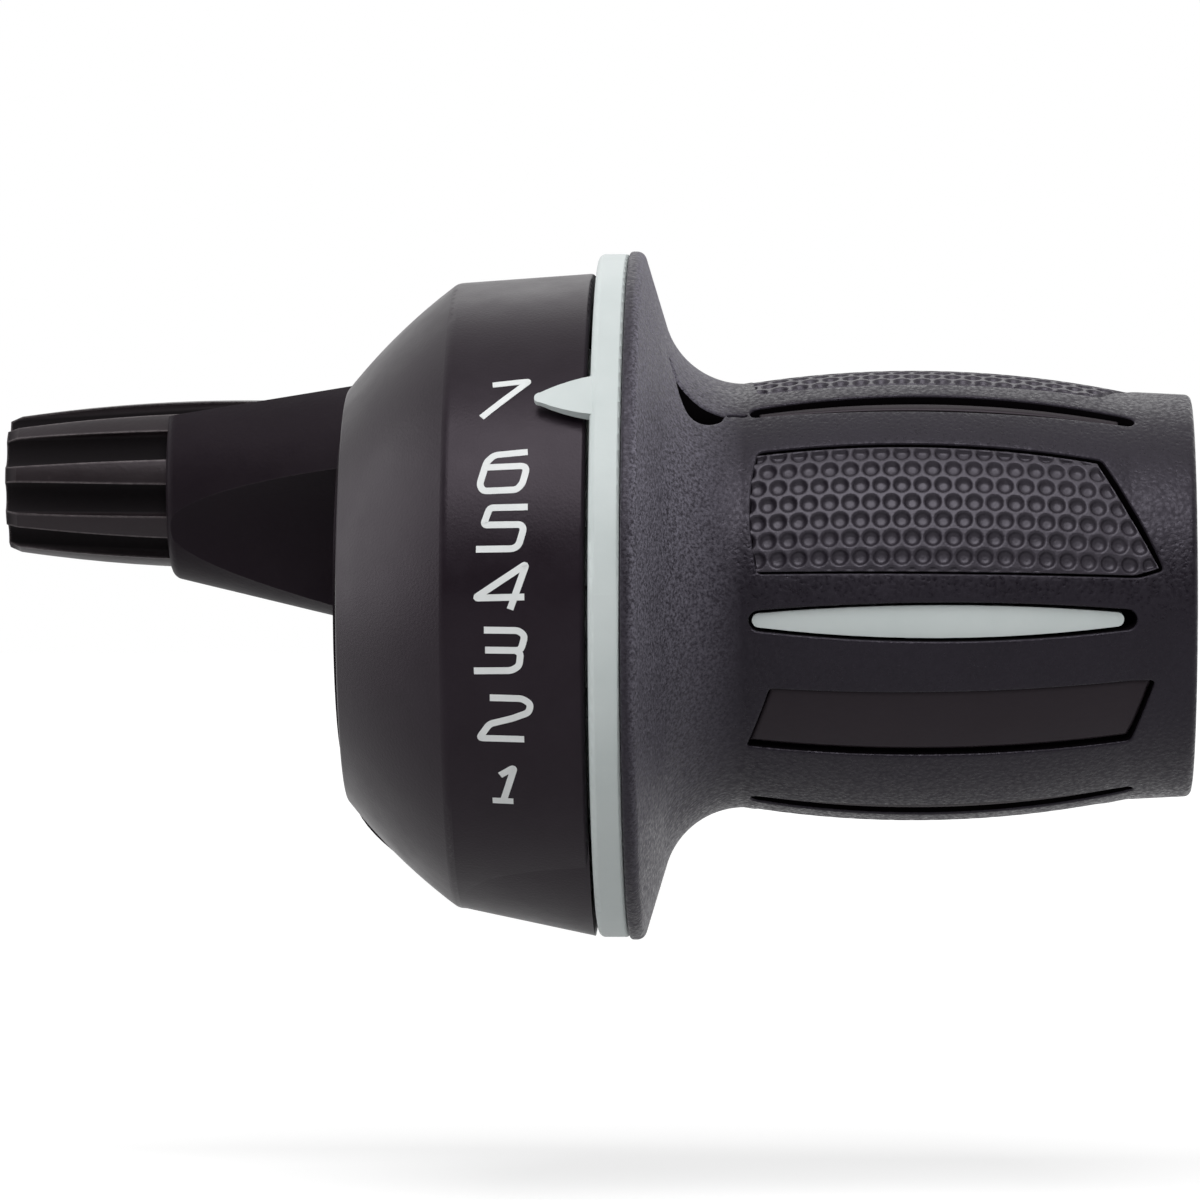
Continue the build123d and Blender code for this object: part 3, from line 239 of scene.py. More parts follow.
class RubberSection:
    """The outer line of the rubber, from the back of its flange to its end face."""

    def __init__(self):
        rim_start = (FLANGE_X, FLANGE_R)
        end_corner = (GRIP_END_X, GRIP_END_R)
        flank_heading = unit(pair(FUNNEL) - pair(FLANK))
        back_edge = rounded_corner((FLANGE_X, BORE_R), rim_start, FLANK, BACK_EDGE_R)
        rim_edge = rounded_corner(rim_start, FLANK, FUNNEL, FLANGE_EDGE_R)
        end_edge = rounded_corner(BOW_END, end_corner, (GRIP_END_X, BORE_R), END_EDGE_R)
        stretches = [
            (back_edge, 0.14),
            (straight(back_edge[-1], rim_edge[0]), 0.3),
            (rim_edge, 0.13),
            (straight(rim_edge[-1], FUNNEL), 0.36),
            (tangent_arc(FUNNEL, flank_heading, NECK), 0.25),
            (arc_through(NECK, CREST, BOW_END, 400), 0.236),
            (straight(BOW_END, end_edge[0]), 0.25),
            (end_edge, 0.2),
        ]
        line = np.vstack([points[:-1] for points, _ in stretches] + [end_edge[-1:]])
        steps = np.linalg.norm(np.diff(line, axis=0), axis=1)
        self.along = np.concatenate([[0], np.cumsum(steps)])
        self.line = line
        heading = np.gradient(line, self.along, axis=0)
        self.normal = np.column_stack([-heading[:, 1], heading[:, 0]])
        rows = []
        place = 0.0
        for points, step in stretches:
            length = np.linalg.norm(np.diff(points, axis=0), axis=1).sum()
            count = max(2, math.ceil(length / step))
            rows.append(place + length * np.arange(count) / count)
            place += length
        self.rows = np.concatenate(rows + [[place]])

    def at(self, along):
        """X, radius and the outward normal at places along the line."""
        across = [np.interp(along, self.along, self.line[:, k]) for k in (0, 1)]
        facing = [np.interp(along, self.along, self.normal[:, k]) for k in (0, 1)]
        size = np.hypot(*facing)
        return across[0], across[1], facing[0] / size, facing[1] / size

    def along_at_x(self, x):
        """Where along the line an X lies, from the flank on."""
        return np.interp(x, self.line[:, 0], self.along)


section = RubberSection()


class Recess:
    """A closed outline on the rubber, in X and in distance around the grip from its angle."""

    def __init__(self, outline, angle, depth, wall):
        self.angle = math.radians(angle)
        self.depth = depth
        self.wall = wall
        self.start = np.column_stack([section.along_at_x(outline[:, 0]), outline[:, 1]])
        self.run = np.roll(self.start, -1, axis=0) - self.start
        area = (self.start[:, 0] * self.run[:, 1] - self.start[:, 1] * self.run[:, 0]).sum()
        through = self.run + np.roll(self.run, 1, axis=0)
        inwards = np.column_stack([-through[:, 1], through[:, 0]]) * np.sign(area)
        self.inwards = inwards / np.hypot(inwards[:, 0], inwards[:, 1])[:, None]

    def ring(self, offset):
        """The outline moved inwards, as places along the section and angles."""
        flat = self.start + self.inwards * offset
        radius = section.at(flat[:, 0])[1]
        return np.column_stack([flat[:, 0], self.angle + np.arcsin(flat[:, 1] / radius)])

    def rings(self):
        """The rounded lip, the top of the wall and its foot."""
        places = (-LIP, -0.6 * LIP, -0.2 * LIP, 0.0, 0.85 * self.wall, self.wall)
        return [self.ring(place) for place in places]

    def signed(self, along, turn):
        """How far inside the outline points lie, for those near it, and which ones these are."""
        flat = np.column_stack([along, section.at(along)[1] * np.sin(turn - self.angle)])
        low = self.start.min(axis=0) - 1
        high = self.start.max(axis=0) + 1
        facing = np.cos(turn - self.angle) > 0.5
        near = np.flatnonzero(facing & np.all((flat > low) & (flat < high), axis=1))
        flat = flat[near]
        gap = flat[:, None, :] - self.start[None]
        share = np.clip((gap * self.run).sum(axis=2) / (self.run**2).sum(axis=1), 0, 1)
        away = gap - share[:, :, None] * self.run
        distance = np.hypot(away[:, :, 0], away[:, :, 1]).min(axis=1)
        level = flat[:, None, 1]
        crossing = (self.start[:, 1] > level) != (self.start[:, 1] + self.run[:, 1] > level)
        rise = np.where(self.run[:, 1] == 0, 1e-9, self.run[:, 1])
        meets = self.start[:, 0] + self.run[:, 0] * (level - self.start[:, 1]) / rise
        inside = (crossing & (meets > flat[:, None, 0])).sum(axis=1) % 2 == 1
        return near, np.where(inside, distance, -distance)

    def sink(self, along, turn, depth):
        """Adds the recess to the depth under the rubber's outer line."""
        near, signed = self.signed(along, turn)
        lip = np.clip(1 + signed / LIP, 0, 1)
        rounded = LIP * (1 - np.sqrt(1 - lip * lip))
        floor = np.minimum(self.depth, section.at(along[near])[1] - LENS_BED_R)
        wall = (floor - LIP) * np.clip(signed / self.wall, 0, 1)
        depth[near] = np.maximum(depth[near], rounded + wall)


def softened(outline, reach=0.3, spacing=0.15):
    """The outline with even points and slightly rounded corners."""
    closed = np.vstack([outline, outline[:1]])
    length = np.concatenate([[0], np.cumsum(np.linalg.norm(np.diff(closed, axis=0), axis=1))])
    place = np.linspace(0, length[-1], int(length[-1] / spacing), endpoint=False)
    even = np.column_stack([np.interp(place, length, closed[:, k]) for k in (0, 1)])
    half = int(reach / spacing)
    return sum(np.roll(even, shift, axis=0) for shift in range(-half, half + 1)) / (2 * half + 1)


def evenly(line, count):
    """A line with a given number of even points."""
    length = np.concatenate([[0], np.cumsum(np.linalg.norm(np.diff(line, axis=0), axis=1))])
    place = np.linspace(0, length[-1], count)
    return np.column_stack([np.interp(place, length, line[:, k]) for k in (0, 1)])


def slot_outline(half, end):
    """A slot with bowed sides and round ends."""
    low, high = GROOVE_X
    middle = 0.5 * (low + high)
    upper = arc_through((high - end, end), (middle, half), (low + end, end))
    start_round = arc_through((low + end, end), (low, 0), (low + end, -end), 20)
    lower = upper[::-1] * (1, -1)
    end_round = arc_through((high - end, -end), (high, 0), (high - end, end), 20)
    return softened(np.vstack([upper[:-1], start_round[:-1], lower[:-1], end_round[:-1]]), 0.15)


def panel_edges(top_gap=0.0, base_gap=0.0, end_gap=0.0):
    """Lower and upper edge of a dimpled panel, each from its curved start to its slanted end."""
    low, high = PANEL_X
    middle = 0.5 * (low + high)
    high -= end_gap
    base, top = base_gap - PANEL_HALF, PANEL_HALF - top_gap
    lower = arc_through((low, base), (middle, base - 0.3), (high - 1.75, base + 0.1))
    upper = arc_through((low, top), (middle, top + 0.3), (high - 4.6, top - 0.55))
    return np.vstack([lower, (high, base + 0.65)]), upper


def panel_outline():
    lower, upper = panel_edges()
    low, high = PANEL_X
    slant = arc_through(lower[-1], (high - 2.2, 0.15), upper[-1])
    start = arc_through((low, PANEL_HALF), (low - 0.55, 0), (low, -PANEL_HALF))
    return softened(np.vstack([lower[:-1], slant, upper[-2::-1], start[1:-1]]))


def plate_edges(gap=0.0, end_gap=0.0):
    """Lower and upper edge of the slanted plate, open by a gap below and at its end."""
    low, high = PLATE_X
    lean = 0.5 * PLATE_SLANT
    middle = 0.5 * (low + high)
    base = -PLATE_HALF + gap
    base_lean = lean * base / PLATE_HALF
    lower_start = (low + lean + base_lean, base)
    lower_end = (high - lean + base_lean - end_gap, base)
    lower = arc_through(lower_start, (middle, base - 0.15), lower_end)
    upper_start = (low + 2 * lean, PLATE_HALF)
    upper = arc_through(upper_start, (middle, PLATE_HALF + 0.15), (high - end_gap, PLATE_HALF))
    return lower, upper


def plate_outline():
    lower, upper = plate_edges()
    return softened(np.vstack([lower, upper[::-1]]))


def port_outline():
    """The crescent through which the cable's end goes in."""
    below = smooth_curve([(0, 3.0), (0.18, 1.8), (0.51, 0.52), (0.98, -0.55), (1.59, -0.93),
                          (2.5, -0.69), (3.4, 0.05), (3.75, 0.95)])
    above = smooth_curve([(3.75, 0.95), (2.62, 1.15), (1.85, 1.42), (1.08, 1.91), (0.31, 2.54),
                          (0, 3.0)])
    return np.vstack([below[:-1], above[:-1]]) + (PORT_X, 0)


def seam_outline(path, taper):
    """A fine slit along a path, narrowing to a share of its width."""
    path = smooth_curve(path, 30)
    heading = np.gradient(path, axis=0)
    across = np.column_stack([-heading[:, 1], heading[:, 0]])
    side = across / np.hypot(heading[:, 0], heading[:, 1])[:, None]
    half = SEAM_HALF * np.linspace(1, taper, 30)[:, None]
    return np.vstack([path - side * half, (path + side * half)[::-1]])


def seam_recesses():
    """The slit that fades up the flank from the port's tip, and the one from the port to the groove."""
    flank = seam_outline([(PORT_X - 0.04, 0.15), (PORT_X - 0.24, 0.86), (PORT_X - 0.49, 1.65)], 0.3)
    neck = seam_outline([(PORT_X + 3.95, -0.05), (PORT_X + 4.6, 0.1), (GROOVE_X[0] - 0.25, 0.0)], 0.8)
    return [Recess(flank, FLANK_SEAM_ANGLE, SEAM_DEPTH, SEAM_WALL),
            Recess(neck, NECK_SEAM_ANGLE, SEAM_DEPTH, SEAM_WALL)]


def piece_from(name, points, faces, materials, body, smooth=True, finish=None):
    """A mesh piece from points in millimetres, riding on a body, with a finish number for each face."""
    mesh = bpy.data.meshes.new(name)
    mesh.from_pydata((np.asarray(points) * MM).tolist(), [], [list(map(int, face)) for face in faces])
    mesh.polygons.foreach_set("use_smooth", [smooth] * len(mesh.polygons))
    for material in materials:
        mesh.materials.append(material)
    if finish is not None:
        mesh.polygons.foreach_set("material_index", finish)
    mesh.validate()
    piece = bpy.data.objects.new(name, mesh)
    bpy.context.scene.collection.objects.link(piece)
    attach(piece, body)
    return piece


def around(x, radius, turn):
    """Points in space from X, radius and angle."""
    return np.column_stack([x, -radius * np.cos(turn), radius * np.sin(turn)])


COLUMNS = 270
UNROLL_R = CREST[1]
FULL_TURN = 2 * math.pi
TOUCHING = 1e-4
RIM_CLEAR = 0.15
BORE_CHAMFER = 0.3
END_FACE_STEP = 1.0
# A side of the grip without recesses, where its skin is cut open to be laid flat.
OPEN_ANGLE = math.radians(-18.4)


def rubber_recesses():
    groove = slot_outline(GROOVE_HALF, GROOVE_END_HALF)
    lens_slot = slot_outline(LENS_SLOT_HALF, LENS_SLOT_END_HALF)
    grooves = [Recess(groove, angle, GROOVE_DEPTH, GROOVE_WALL) for angle in GROOVE_ANGLES]
    panels = [Recess(panel_outline() * (1, side), angle, PANEL_BED, PANEL_WALL)
              for angle, side in PANELS]
    return grooves + panels + seam_recesses() + [
        Recess(lens_slot, LENS_ANGLE, LENS_SLOT_DEPTH, PANEL_WALL),
        Recess(plate_outline(), PLATE_ANGLE, PLATE_BED, PANEL_WALL),
        Recess(port_outline(), PORT_ANGLE, PORT_DEPTH, PORT_WALL),
    ]


def open_grid(recesses):
    """Points over the unrolled rubber, clear of the rims of its recesses, staggered on the grip."""
    grip_start, grip_end = section.along_at_x([FUNNEL[0], BOW_END[0]])
    points = []
    for row, place in enumerate(section.rows):
        shift = 0.5 if grip_start < place < grip_end and row % 2 else 0.0
        turns = np.concatenate([[0], np.arange(1, COLUMNS) - shift, [COLUMNS]]) * FULL_TURN / COLUMNS
        points.append(np.column_stack([np.full(len(turns), place), turns]))
    points = np.vstack(points)
    clear = np.ones(len(points), bool)
    for recess in recesses:
        near, signed = recess.signed(points[:, 0], points[:, 1] + OPEN_ANGLE)
        at_rim = (signed > -LIP - RIM_CLEAR) & (signed < recess.wall + RIM_CLEAR)
        clear[near[at_rim]] = False
    return points[clear]


def unrolled_triangles(recesses):
    """Places along the section, angles and triangles of the rubber, drawn along every rim."""
    points = [open_grid(recesses)]
    count = len(points[0])
    edges = []
    for recess in recesses:
        for ring in recess.rings():
            ring[:, 1] = (ring[:, 1] - OPEN_ANGLE) % FULL_TURN
            here = count + np.arange(len(ring))
            edges += np.column_stack([here, np.roll(here, -1)]).tolist()
            points.append(ring)
            count += len(ring)
    flat = np.vstack(points) * (1, UNROLL_R)
    corners = [Vector(point) for point in flat.tolist()]
    kept, _, faces, *_ = geometry.delaunay_2d_cdt(corners, edges, [], 0, 1e-6, False)
    kept = np.array([point[:] for point in kept])
    return kept[:, 0], kept[:, 1] / UNROLL_R, np.array(faces)


def make_grip_rubber(outer, shaded_finish):
    """The rubber as one closed skin: its outside laid flat, cut along each rim, and rolled up again."""
    recesses = rubber_recesses()
    along, turn, faces = unrolled_triangles(recesses)
    at_end = np.flatnonzero(turn > FULL_TURN - TOUCHING)
    at_start = np.flatnonzero(turn < TOUCHING)
    renamed = np.arange(len(along))
    renamed[at_end[np.argsort(along[at_end])]] = at_start[np.argsort(along[at_start])]
    depth = np.zeros(len(along))
    for recess in recesses:
        recess.sink(along, turn + OPEN_ANGLE, depth)
    # Faces far enough down get the painted shade finish.
    finish = (depth[faces].mean(axis=1) > SHADE_DEPTH).astype(int).tolist()
    faces = renamed[faces].tolist()
    x, radius, facing_x, facing_r = section.at(along)
    points = around(x - depth * facing_x, radius - depth * facing_r, turn + OPEN_ANGLE)
    open_end = turn < FULL_TURN - TOUCHING
    last = np.flatnonzero(open_end & (along > along.max() - TOUCHING))
    first = np.flatnonzero(open_end & (along < TOUCHING))
    last = last[np.argsort(turn[last])]
    first = first[np.argsort(turn[first])]
    turns = turn[first] + OPEN_ANGLE
    inner = [(GRIP_END_X, GRIP_END_R - END_FACE_STEP), (GRIP_END_X, BORE_R + BORE_CHAMFER),
             (GRIP_END_X - BORE_CHAMFER, BORE_R), (CREST[0], BORE_R), (FLANGE_X + BORE_CHAMFER, BORE_R),
             (FLANGE_X, BORE_R + BORE_CHAMFER), (FLANGE_X, FUNNEL[1])]
    rows = [last]
    for x_in, r_in in inner:
        rows.append(len(points) + np.arange(COLUMNS))
        points = np.vstack([points, around(np.full(COLUMNS, x_in), np.full(COLUMNS, r_in), turns)])
    rows.append(first)
    for row, after in zip(rows, rows[1:]):
        faces += np.column_stack([row, after, np.roll(after, -1), np.roll(row, -1)]).tolist()
    finish += [0] * (len(faces) - len(finish))
    used = np.unique(np.concatenate([np.ravel(face) for face in faces]))
    packed = np.full(len(points), -1)
    packed[used] = np.arange(len(used))
    faces = [packed[face] for face in faces]
    rubber = piece_from("grip_rubber_skin", points[used], faces, (outer, shaded_finish), "grip",
                        finish=finish)
    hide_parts("grip_cover")


def closed_patch(grid, underside):
    """Points and faces of a patch with a drawn surface, side walls and a plain underside."""
    rows, columns = grid.shape[:2]
    top = np.arange(rows * columns).reshape(rows, columns)
    cells = np.stack([top[:-1, :-1], top[:-1, 1:], top[1:, 1:], top[1:, :-1]], axis=-1).reshape(-1, 4)
    rim = np.concatenate([top[0, :-1], top[:-1, -1], top[-1, :0:-1], top[:0:-1, 0]])
    low = rows * columns + np.arange(len(rim))
    points = np.vstack([grid.reshape(-1, 3), underside.reshape(-1, 3)[rim]])
    centre = len(points)
    points = np.vstack([points, underside[rows // 2, columns // 2]])
    following = np.roll(np.arange(len(rim)), -1)
    walls = np.column_stack([rim, low, low[following], rim[following]])
    base = np.column_stack([low, np.full(len(rim), centre), low[following]])
    return points, list(cells) + list(walls) + list(base)


def on_rubber(x, flat, angle, depth):
    """Points under the rubber's outer line, from X and distance around the grip."""
    along = section.along_at_x(x)
    base_x, radius, facing_x, facing_r = section.at(along)
    turn = math.radians(angle) + np.arcsin(np.clip(flat / radius, -1, 1))
    deep_x = base_x - depth * facing_x
    deep_r = radius - depth * facing_r
    return np.stack([deep_x, -deep_r * np.cos(turn), deep_r * np.sin(turn)], axis=-1)


def dimple_depth(x, flat):
    """Depth of the hexagonal field of dimples at a place on a panel."""
    around_grip = CREST[1] * np.arcsin(np.clip(flat / CREST[1], -1, 1))
    start_x, start_row = DIMPLE_FIRST
    nearest = np.full(x.shape, np.inf)
    row = np.floor((around_grip - start_row) / DIMPLE_ROW)
    for shift in (0, 1):
        level = row + shift
        start = start_x + 0.5 * DIMPLE_PITCH * (level % 2)
        centre_x = start + DIMPLE_PITCH * np.round((x - start) / DIMPLE_PITCH)
        gap = np.hypot(x - centre_x, around_grip - start_row - DIMPLE_ROW * level)
        nearest = np.minimum(nearest, gap)
    return DIMPLE_DEPTH * np.clip(1 - (nearest / DIMPLE_RIM)**4, 0, 1)


PAD_CELLS = (300, 108)


def patch_between(edges, cells):
    """Places of an even grid between a lower and an upper edge."""
    lower, upper = (evenly(edge, cells[0] + 1)[:, None] for edge in edges)
    share = np.linspace(0, 1, cells[1] + 1)[None, :, None]
    grid = lower * (1 - share) + upper * share
    return grid[..., 0], grid[..., 1]


def make_panel_pads(material):
    """One dimpled pad for each panel, with a fine gap along it and at its slanted end."""
    x, flat = patch_between(panel_edges(PAD_TOP_GAP, PAD_BASE_GAP, PAD_END_GAP), PAD_CELLS)
    lead = np.linspace(1, 0, PAD_CELLS[0] + 1)[:, None]**8
    x = x - lead * (0.25 + 0.5 * (1 - (flat / PANEL_HALF)**2))
    across = np.linspace(0, 1, PAD_CELLS[1] + 1)[None, :]
    lengthwise = np.linspace(1, 0, PAD_CELLS[0] + 1)[:, None]
    edge = np.minimum(np.minimum(across, 1 - across) * 2 * PANEL_HALF,
                      lengthwise * (PANEL_X[1] - PANEL_X[0]))
    depth = PAD_DEPTH + dimple_depth(x, flat) * soft_step(edge / DIMPLE_CLEAR)
    for number, (angle, side) in enumerate(PANELS, start=1):
        grid = on_rubber(x, side * flat, angle, depth)[:, ::side]
        underside = on_rubber(x, side * flat, angle, np.full(x.shape, PANEL_BED + UNDERLAP))[:, ::side]
        points, faces = closed_patch(grid, underside)
        piece_from(f"panel_pad_{number}", points, faces, [material], "grip")


RIB_CELLS = (150, 12)


def make_groove_ribs(material):
    """The low dark rib in each plain groove."""
    low, high = GROOVE_X[0] + RIB_GAPS[0], GROOVE_X[1] - RIB_GAPS[1]
    upper = arc_through((low, RIB_END_HALF), (0.5 * (low + high), RIB_HALF), (high, RIB_END_HALF))
    x, flat = patch_between((upper * (1, -1), upper), RIB_CELLS)
    across = np.linspace(0, 1, RIB_CELLS[1] + 1)[None, :]
    depth = np.broadcast_to(RIB_DEPTH + RIB_ROUND * (2 * across - 1)**4, x.shape)
    for number, angle in enumerate(GROOVE_ANGLES, start=1):
        grid = on_rubber(x, flat, angle, depth)
        underside = on_rubber(x, flat, angle, np.full(x.shape, GROOVE_DEPTH + UNDERLAP))
        points, faces = closed_patch(grid, underside)
        piece_from(f"groove_rib_{number}", points, faces, [material], "grip")


PLATE_CELLS = (180, 36)


def make_plate(material):
    """The bare slanted plate, set in its recess with a gap below it and at its end."""
    x, flat = patch_between(plate_edges(PLATE_GAP, PLATE_END_GAP), PLATE_CELLS)
    across = np.linspace(0, 1, PLATE_CELLS[1] + 1)[None, :]
    lengthwise = np.linspace(0, 1, PLATE_CELLS[0] + 1)[:, None]
    edge = np.minimum(np.minimum(across, 1 - across) * 2 * PLATE_HALF,
                      np.minimum(lengthwise, 1 - lengthwise) * (PLATE_X[1] - PLATE_X[0]))
    depth = PLATE_DEPTH + PLATE_EDGE_DROP * (1 - soft_step(edge / PLATE_EDGE))
    underside = on_rubber(x, flat, PLATE_ANGLE, np.full(x.shape, PLATE_BED + UNDERLAP))
    points, faces = closed_patch(on_rubber(x, flat, PLATE_ANGLE, depth), underside)
    piece_from("side_plate", points, faces, [material], "grip")


# Strokes of the numerals, in millimetres from each numeral's centre: along the bar, then up.
NUMERALS = {
    7: [[(-0.95, 1.46), (1.85, 1.7), (-1.7, -1.6)]],
    6: [[(1.87, 1.52), (-0.64, 1.33), (-1.21, 0.79), (-1.71, -1.06), (-1.42, -1.57), (1.08, -1.53),
         (1.51, -1.06), (1.8, 0.1), (1.58, 0.38), (-1.28, 0.33)]],
    5: [[(1.94, 1.55), (-0.92, 1.52), (-1.38, 0.2), (1.44, 0.2), (1.65, -0.13), (1.29, -1.38),
         (0.87, -1.64), (-1.92, -1.64)]],
    4: [[(0.65, -1.7), (1.87, 1.7), (-2.0, -0.85), (1.72, -0.77)]],
    3: [[(-1.32, 1.51), (1.27, 1.51), (1.75, 1.12), (1.5, 0.19), (1.27, 0.0), (-1.24, 0.0)],
        [(1.0, 0.02), (1.42, -0.2), (1.31, -1.18), (0.73, -1.54), (-2.1, -1.6)]],
    2: [[(-0.93, 1.64), (1.51, 1.64), (2.14, 1.22), (1.98, 0.54), (0.73, 0.02), (-1.0, -0.48),
         (-1.8, -1.67), (1.6, -1.67)]],
    1: [[(-0.3, 0.88), (0.8, 1.65), (-0.06, -1.34)], [(-0.93, -1.54), (0.64, -1.54)]],
}


def rounded_path(points, cut=0.3, spacing=0.25):
    """A stroke with its corners rounded and its straight runs divided."""
    points = np.array(points, float)
    path = [points[0]]
    for before, corner, after in zip(points, points[1:], points[2:]):
        reach_in = min(cut, 0.45 * np.linalg.norm(corner - before))
        reach_out = min(cut, 0.45 * np.linalg.norm(after - corner))
        start = corner + unit(before - corner) * reach_in
        end = corner + unit(after - corner) * reach_out
        for share in np.linspace(0, 1, 7):
            path.append(start * (1 - share)**2 + 2 * corner * share * (1 - share) + end * share**2)
    path.append(points[-1])
    divided = [path[0]]
    for start, end in zip(path, path[1:]):
        count = max(1, math.ceil(np.linalg.norm(end - start) / spacing))
        divided += [start + (end - start) * step / count for step in range(1, count + 1)]
    return np.array(divided)


def band_radius(x):
    slope = (BAND_END[1] - BAND_START[1]) / (BAND_END[0] - BAND_START[0])
    return BAND_START[1] + (x - BAND_START[0]) * slope


def make_numerals(material):
    """Thin raised strokes that follow the numbered band."""
    points = np.empty((0, 3))
    faces = []
    for number, angle in zip(sorted(NUMERALS, reverse=True), GEAR_ANGLES):
        for layer, stroke in enumerate(NUMERALS[number]):
            path = rounded_path(stroke)
            heading = np.gradient(path, axis=0)
            heading /= np.linalg.norm(heading, axis=1)[:, None]
            side = np.column_stack([-heading[:, 1], heading[:, 0]]) * 0.5 * NUMERAL_STROKE
            proud = NUMERAL_PROUD + STROKE_STEP * layer
            corners = []
            one_side = ((side, -NUMERAL_SUNK), (side, proud))
            other_side = ((-side, proud), (-side, -NUMERAL_SUNK))
            for edge, height in one_side + other_side:
                x = NUMERAL_X + (path + edge)[:, 0]
                radius = band_radius(x)
                turn = math.radians(angle) + (path + edge)[:, 1] / radius
                corners.append(around(x, radius + height, turn))
            first = len(points)
            ring = np.stack(corners, axis=1).reshape(-1, 3)
            points = np.vstack([points, ring])
            for place in range(len(path) - 1):
                here = first + 4 * place
                for k in range(4):
                    beside = (k + 1) % 4
                    faces.append((here + k, here + beside, here + 4 + beside, here + 4 + k))
            faces.append((first + 3, first + 2, first + 1, first))
            last = first + 4 * (len(path) - 1)
            faces.append((last, last + 1, last + 2, last + 3))
    piece_from("gear_numerals", points, faces, [material], "housing", smooth=False)


# Finishes. Shared effects are node groups.
def shader_group(name, inputs, outputs):
    """An empty node group with named number inputs and outputs, and its two end nodes."""
    group = bpy.data.node_groups.new(name, "ShaderNodeTree")
    for label, value in inputs.items():
        socket = group.interface.new_socket(label, in_out="INPUT", socket_type="NodeSocketFloat")
        socket.default_value = value
    for label in outputs:
        group.interface.new_socket(label, in_out="OUTPUT", socket_type="NodeSocketFloat")
    return group, group.nodes.new("NodeGroupInput"), group.nodes.new("NodeGroupOutput")


def joined(tree, source, target):
    tree.links.new(source, target)


def fed(tree, value, socket):
    """Joins a source to a socket, or sets a number or an opaque colour on it."""
    if hasattr(value, "is_linked"):
        joined(tree, value, socket)
    else:
        socket.default_value = (*value, 1.0) if isinstance(value, tuple) else value


def number_math(tree, operation, first, second):
    """A math node, each side a socket or a number."""
    node = tree.nodes.new("ShaderNodeMath")
    node.operation = operation
    for socket, value in zip(node.inputs, (first, second)):
        fed(tree, value, socket)
    return node.outputs[0]


def ranged(tree, source, from_low, from_high, to_low, to_high):
    """A value carried from one range to another, clamped."""
    node = tree.nodes.new("ShaderNodeMapRange")
    joined(tree, source, node.inputs["Value"])
    limits = {"From Min": from_low, "From Max": from_high, "To Min": to_low, "To Max": to_high}
    for label, value in limits.items():
        fed(tree, value, node.inputs[label])
    return node.outputs["Result"]


def noise(tree, place, scale, detail=2.0, rough=0.5, twist=0.0):
    node = tree.nodes.new("ShaderNodeTexNoise")
    joined(tree, place, node.inputs["Vector"])
    fed(tree, scale, node.inputs["Scale"])
    node.inputs["Detail"].default_value = detail
    node.inputs["Roughness"].default_value = rough
    node.inputs["Distortion"].default_value = twist
    return node.outputs["Fac"]


def object_place(tree, stretch=None):
    """Object coordinates in metres, stretched if asked."""
    place = tree.nodes.new("ShaderNodeTexCoord").outputs["Object"]
    if stretch is None:
        return place
    node = tree.nodes.new("ShaderNodeMapping")
    node.inputs["Scale"].default_value = stretch
    node.inputs["Rotation"].default_value = (0.3, 0.5, 0.2)
    joined(tree, place, node.inputs["Vector"])
    return node.outputs["Vector"]


def moulded_grain():
    """The fine spark-eroded grain of a mould, and a slow drift in tone."""
    group, start, end = shader_group("moulded_grain", {"Scale": 3000.0}, ("Height", "Mottle"))
    place = object_place(group)
    fine = noise(group, place, start.outputs["Scale"], 3.0, 0.6)
    cells = group.nodes.new("ShaderNodeTexVoronoi")
    joined(group, place, cells.inputs["Vector"])
    joined(group, number_math(group, "MULTIPLY", start.outputs["Scale"], 0.8), cells.inputs["Scale"])
    pits = number_math(group, "MULTIPLY", cells.outputs["Distance"], 0.6)
    joined(group, number_math(group, "ADD", fine, pits), end.inputs["Height"])
    slow = noise(group, place, number_math(group, "MULTIPLY", start.outputs["Scale"], 0.06), 4.0, 0.6)
    joined(group, ranged(group, slow, 0.3, 0.7, 0.0, 1.0), end.inputs["Mottle"])
    return group


def handling_marks():
    """Short pale rubs and specks from handling, in patches."""
    group, start, end = shader_group("handling_marks", {"Scale": 900.0, "Coverage": 0.3}, ("Mark",))
    streaks = noise(group, object_place(group, (1.0, 0.25, 1.0)), start.outputs["Scale"], 4.0, 0.7, 0.4)
    patch_scale = number_math(group, "MULTIPLY", start.outputs["Scale"], 0.12)
    patches = noise(group, object_place(group), patch_scale)
    covered = number_math(group, "MULTIPLY", start.outputs["Coverage"], 0.3)
    level = number_math(group, "SUBTRACT", 0.8, covered)
    thin = ranged(group, streaks, level, number_math(group, "ADD", level, 0.07), 0.0, 1.0)
    overlay = ranged(group, patches, 0.45, 0.65, 0.0, 1.0)
    joined(group, number_math(group, "MULTIPLY", thin, overlay), end.inputs["Mark"])
    return group


def edge_rub():
    """Pale edges, as rubbed wear and as painted highlights where edges catch the light: how far a
    rounded edge would turn the surface, broken up by noise.
    """
    group, start, end = shader_group("edge_rub", {"Radius": 0.0002, "Scale": 2200.0}, ("Rub",))
    rounded = group.nodes.new("ShaderNodeBevel")
    joined(group, start.outputs["Radius"], rounded.inputs["Radius"])
    facing = group.nodes.new("ShaderNodeNewGeometry")
    kept = group.nodes.new("ShaderNodeVectorMath")
    kept.operation = "DOT_PRODUCT"
    joined(group, rounded.outputs["Normal"], kept.inputs[0])
    joined(group, facing.outputs["Normal"], kept.inputs[1])
    turned = ranged(group, kept.outputs["Value"], 0.985, 0.87, 0.0, 1.0)
    patches = noise(group, object_place(group), start.outputs["Scale"], 3.0, 0.6)
    broken = ranged(group, patches, 0.35, 0.6, 0.45, 1.0)
    joined(group, number_math(group, "MULTIPLY", turned, broken), end.inputs["Rub"])
    return group


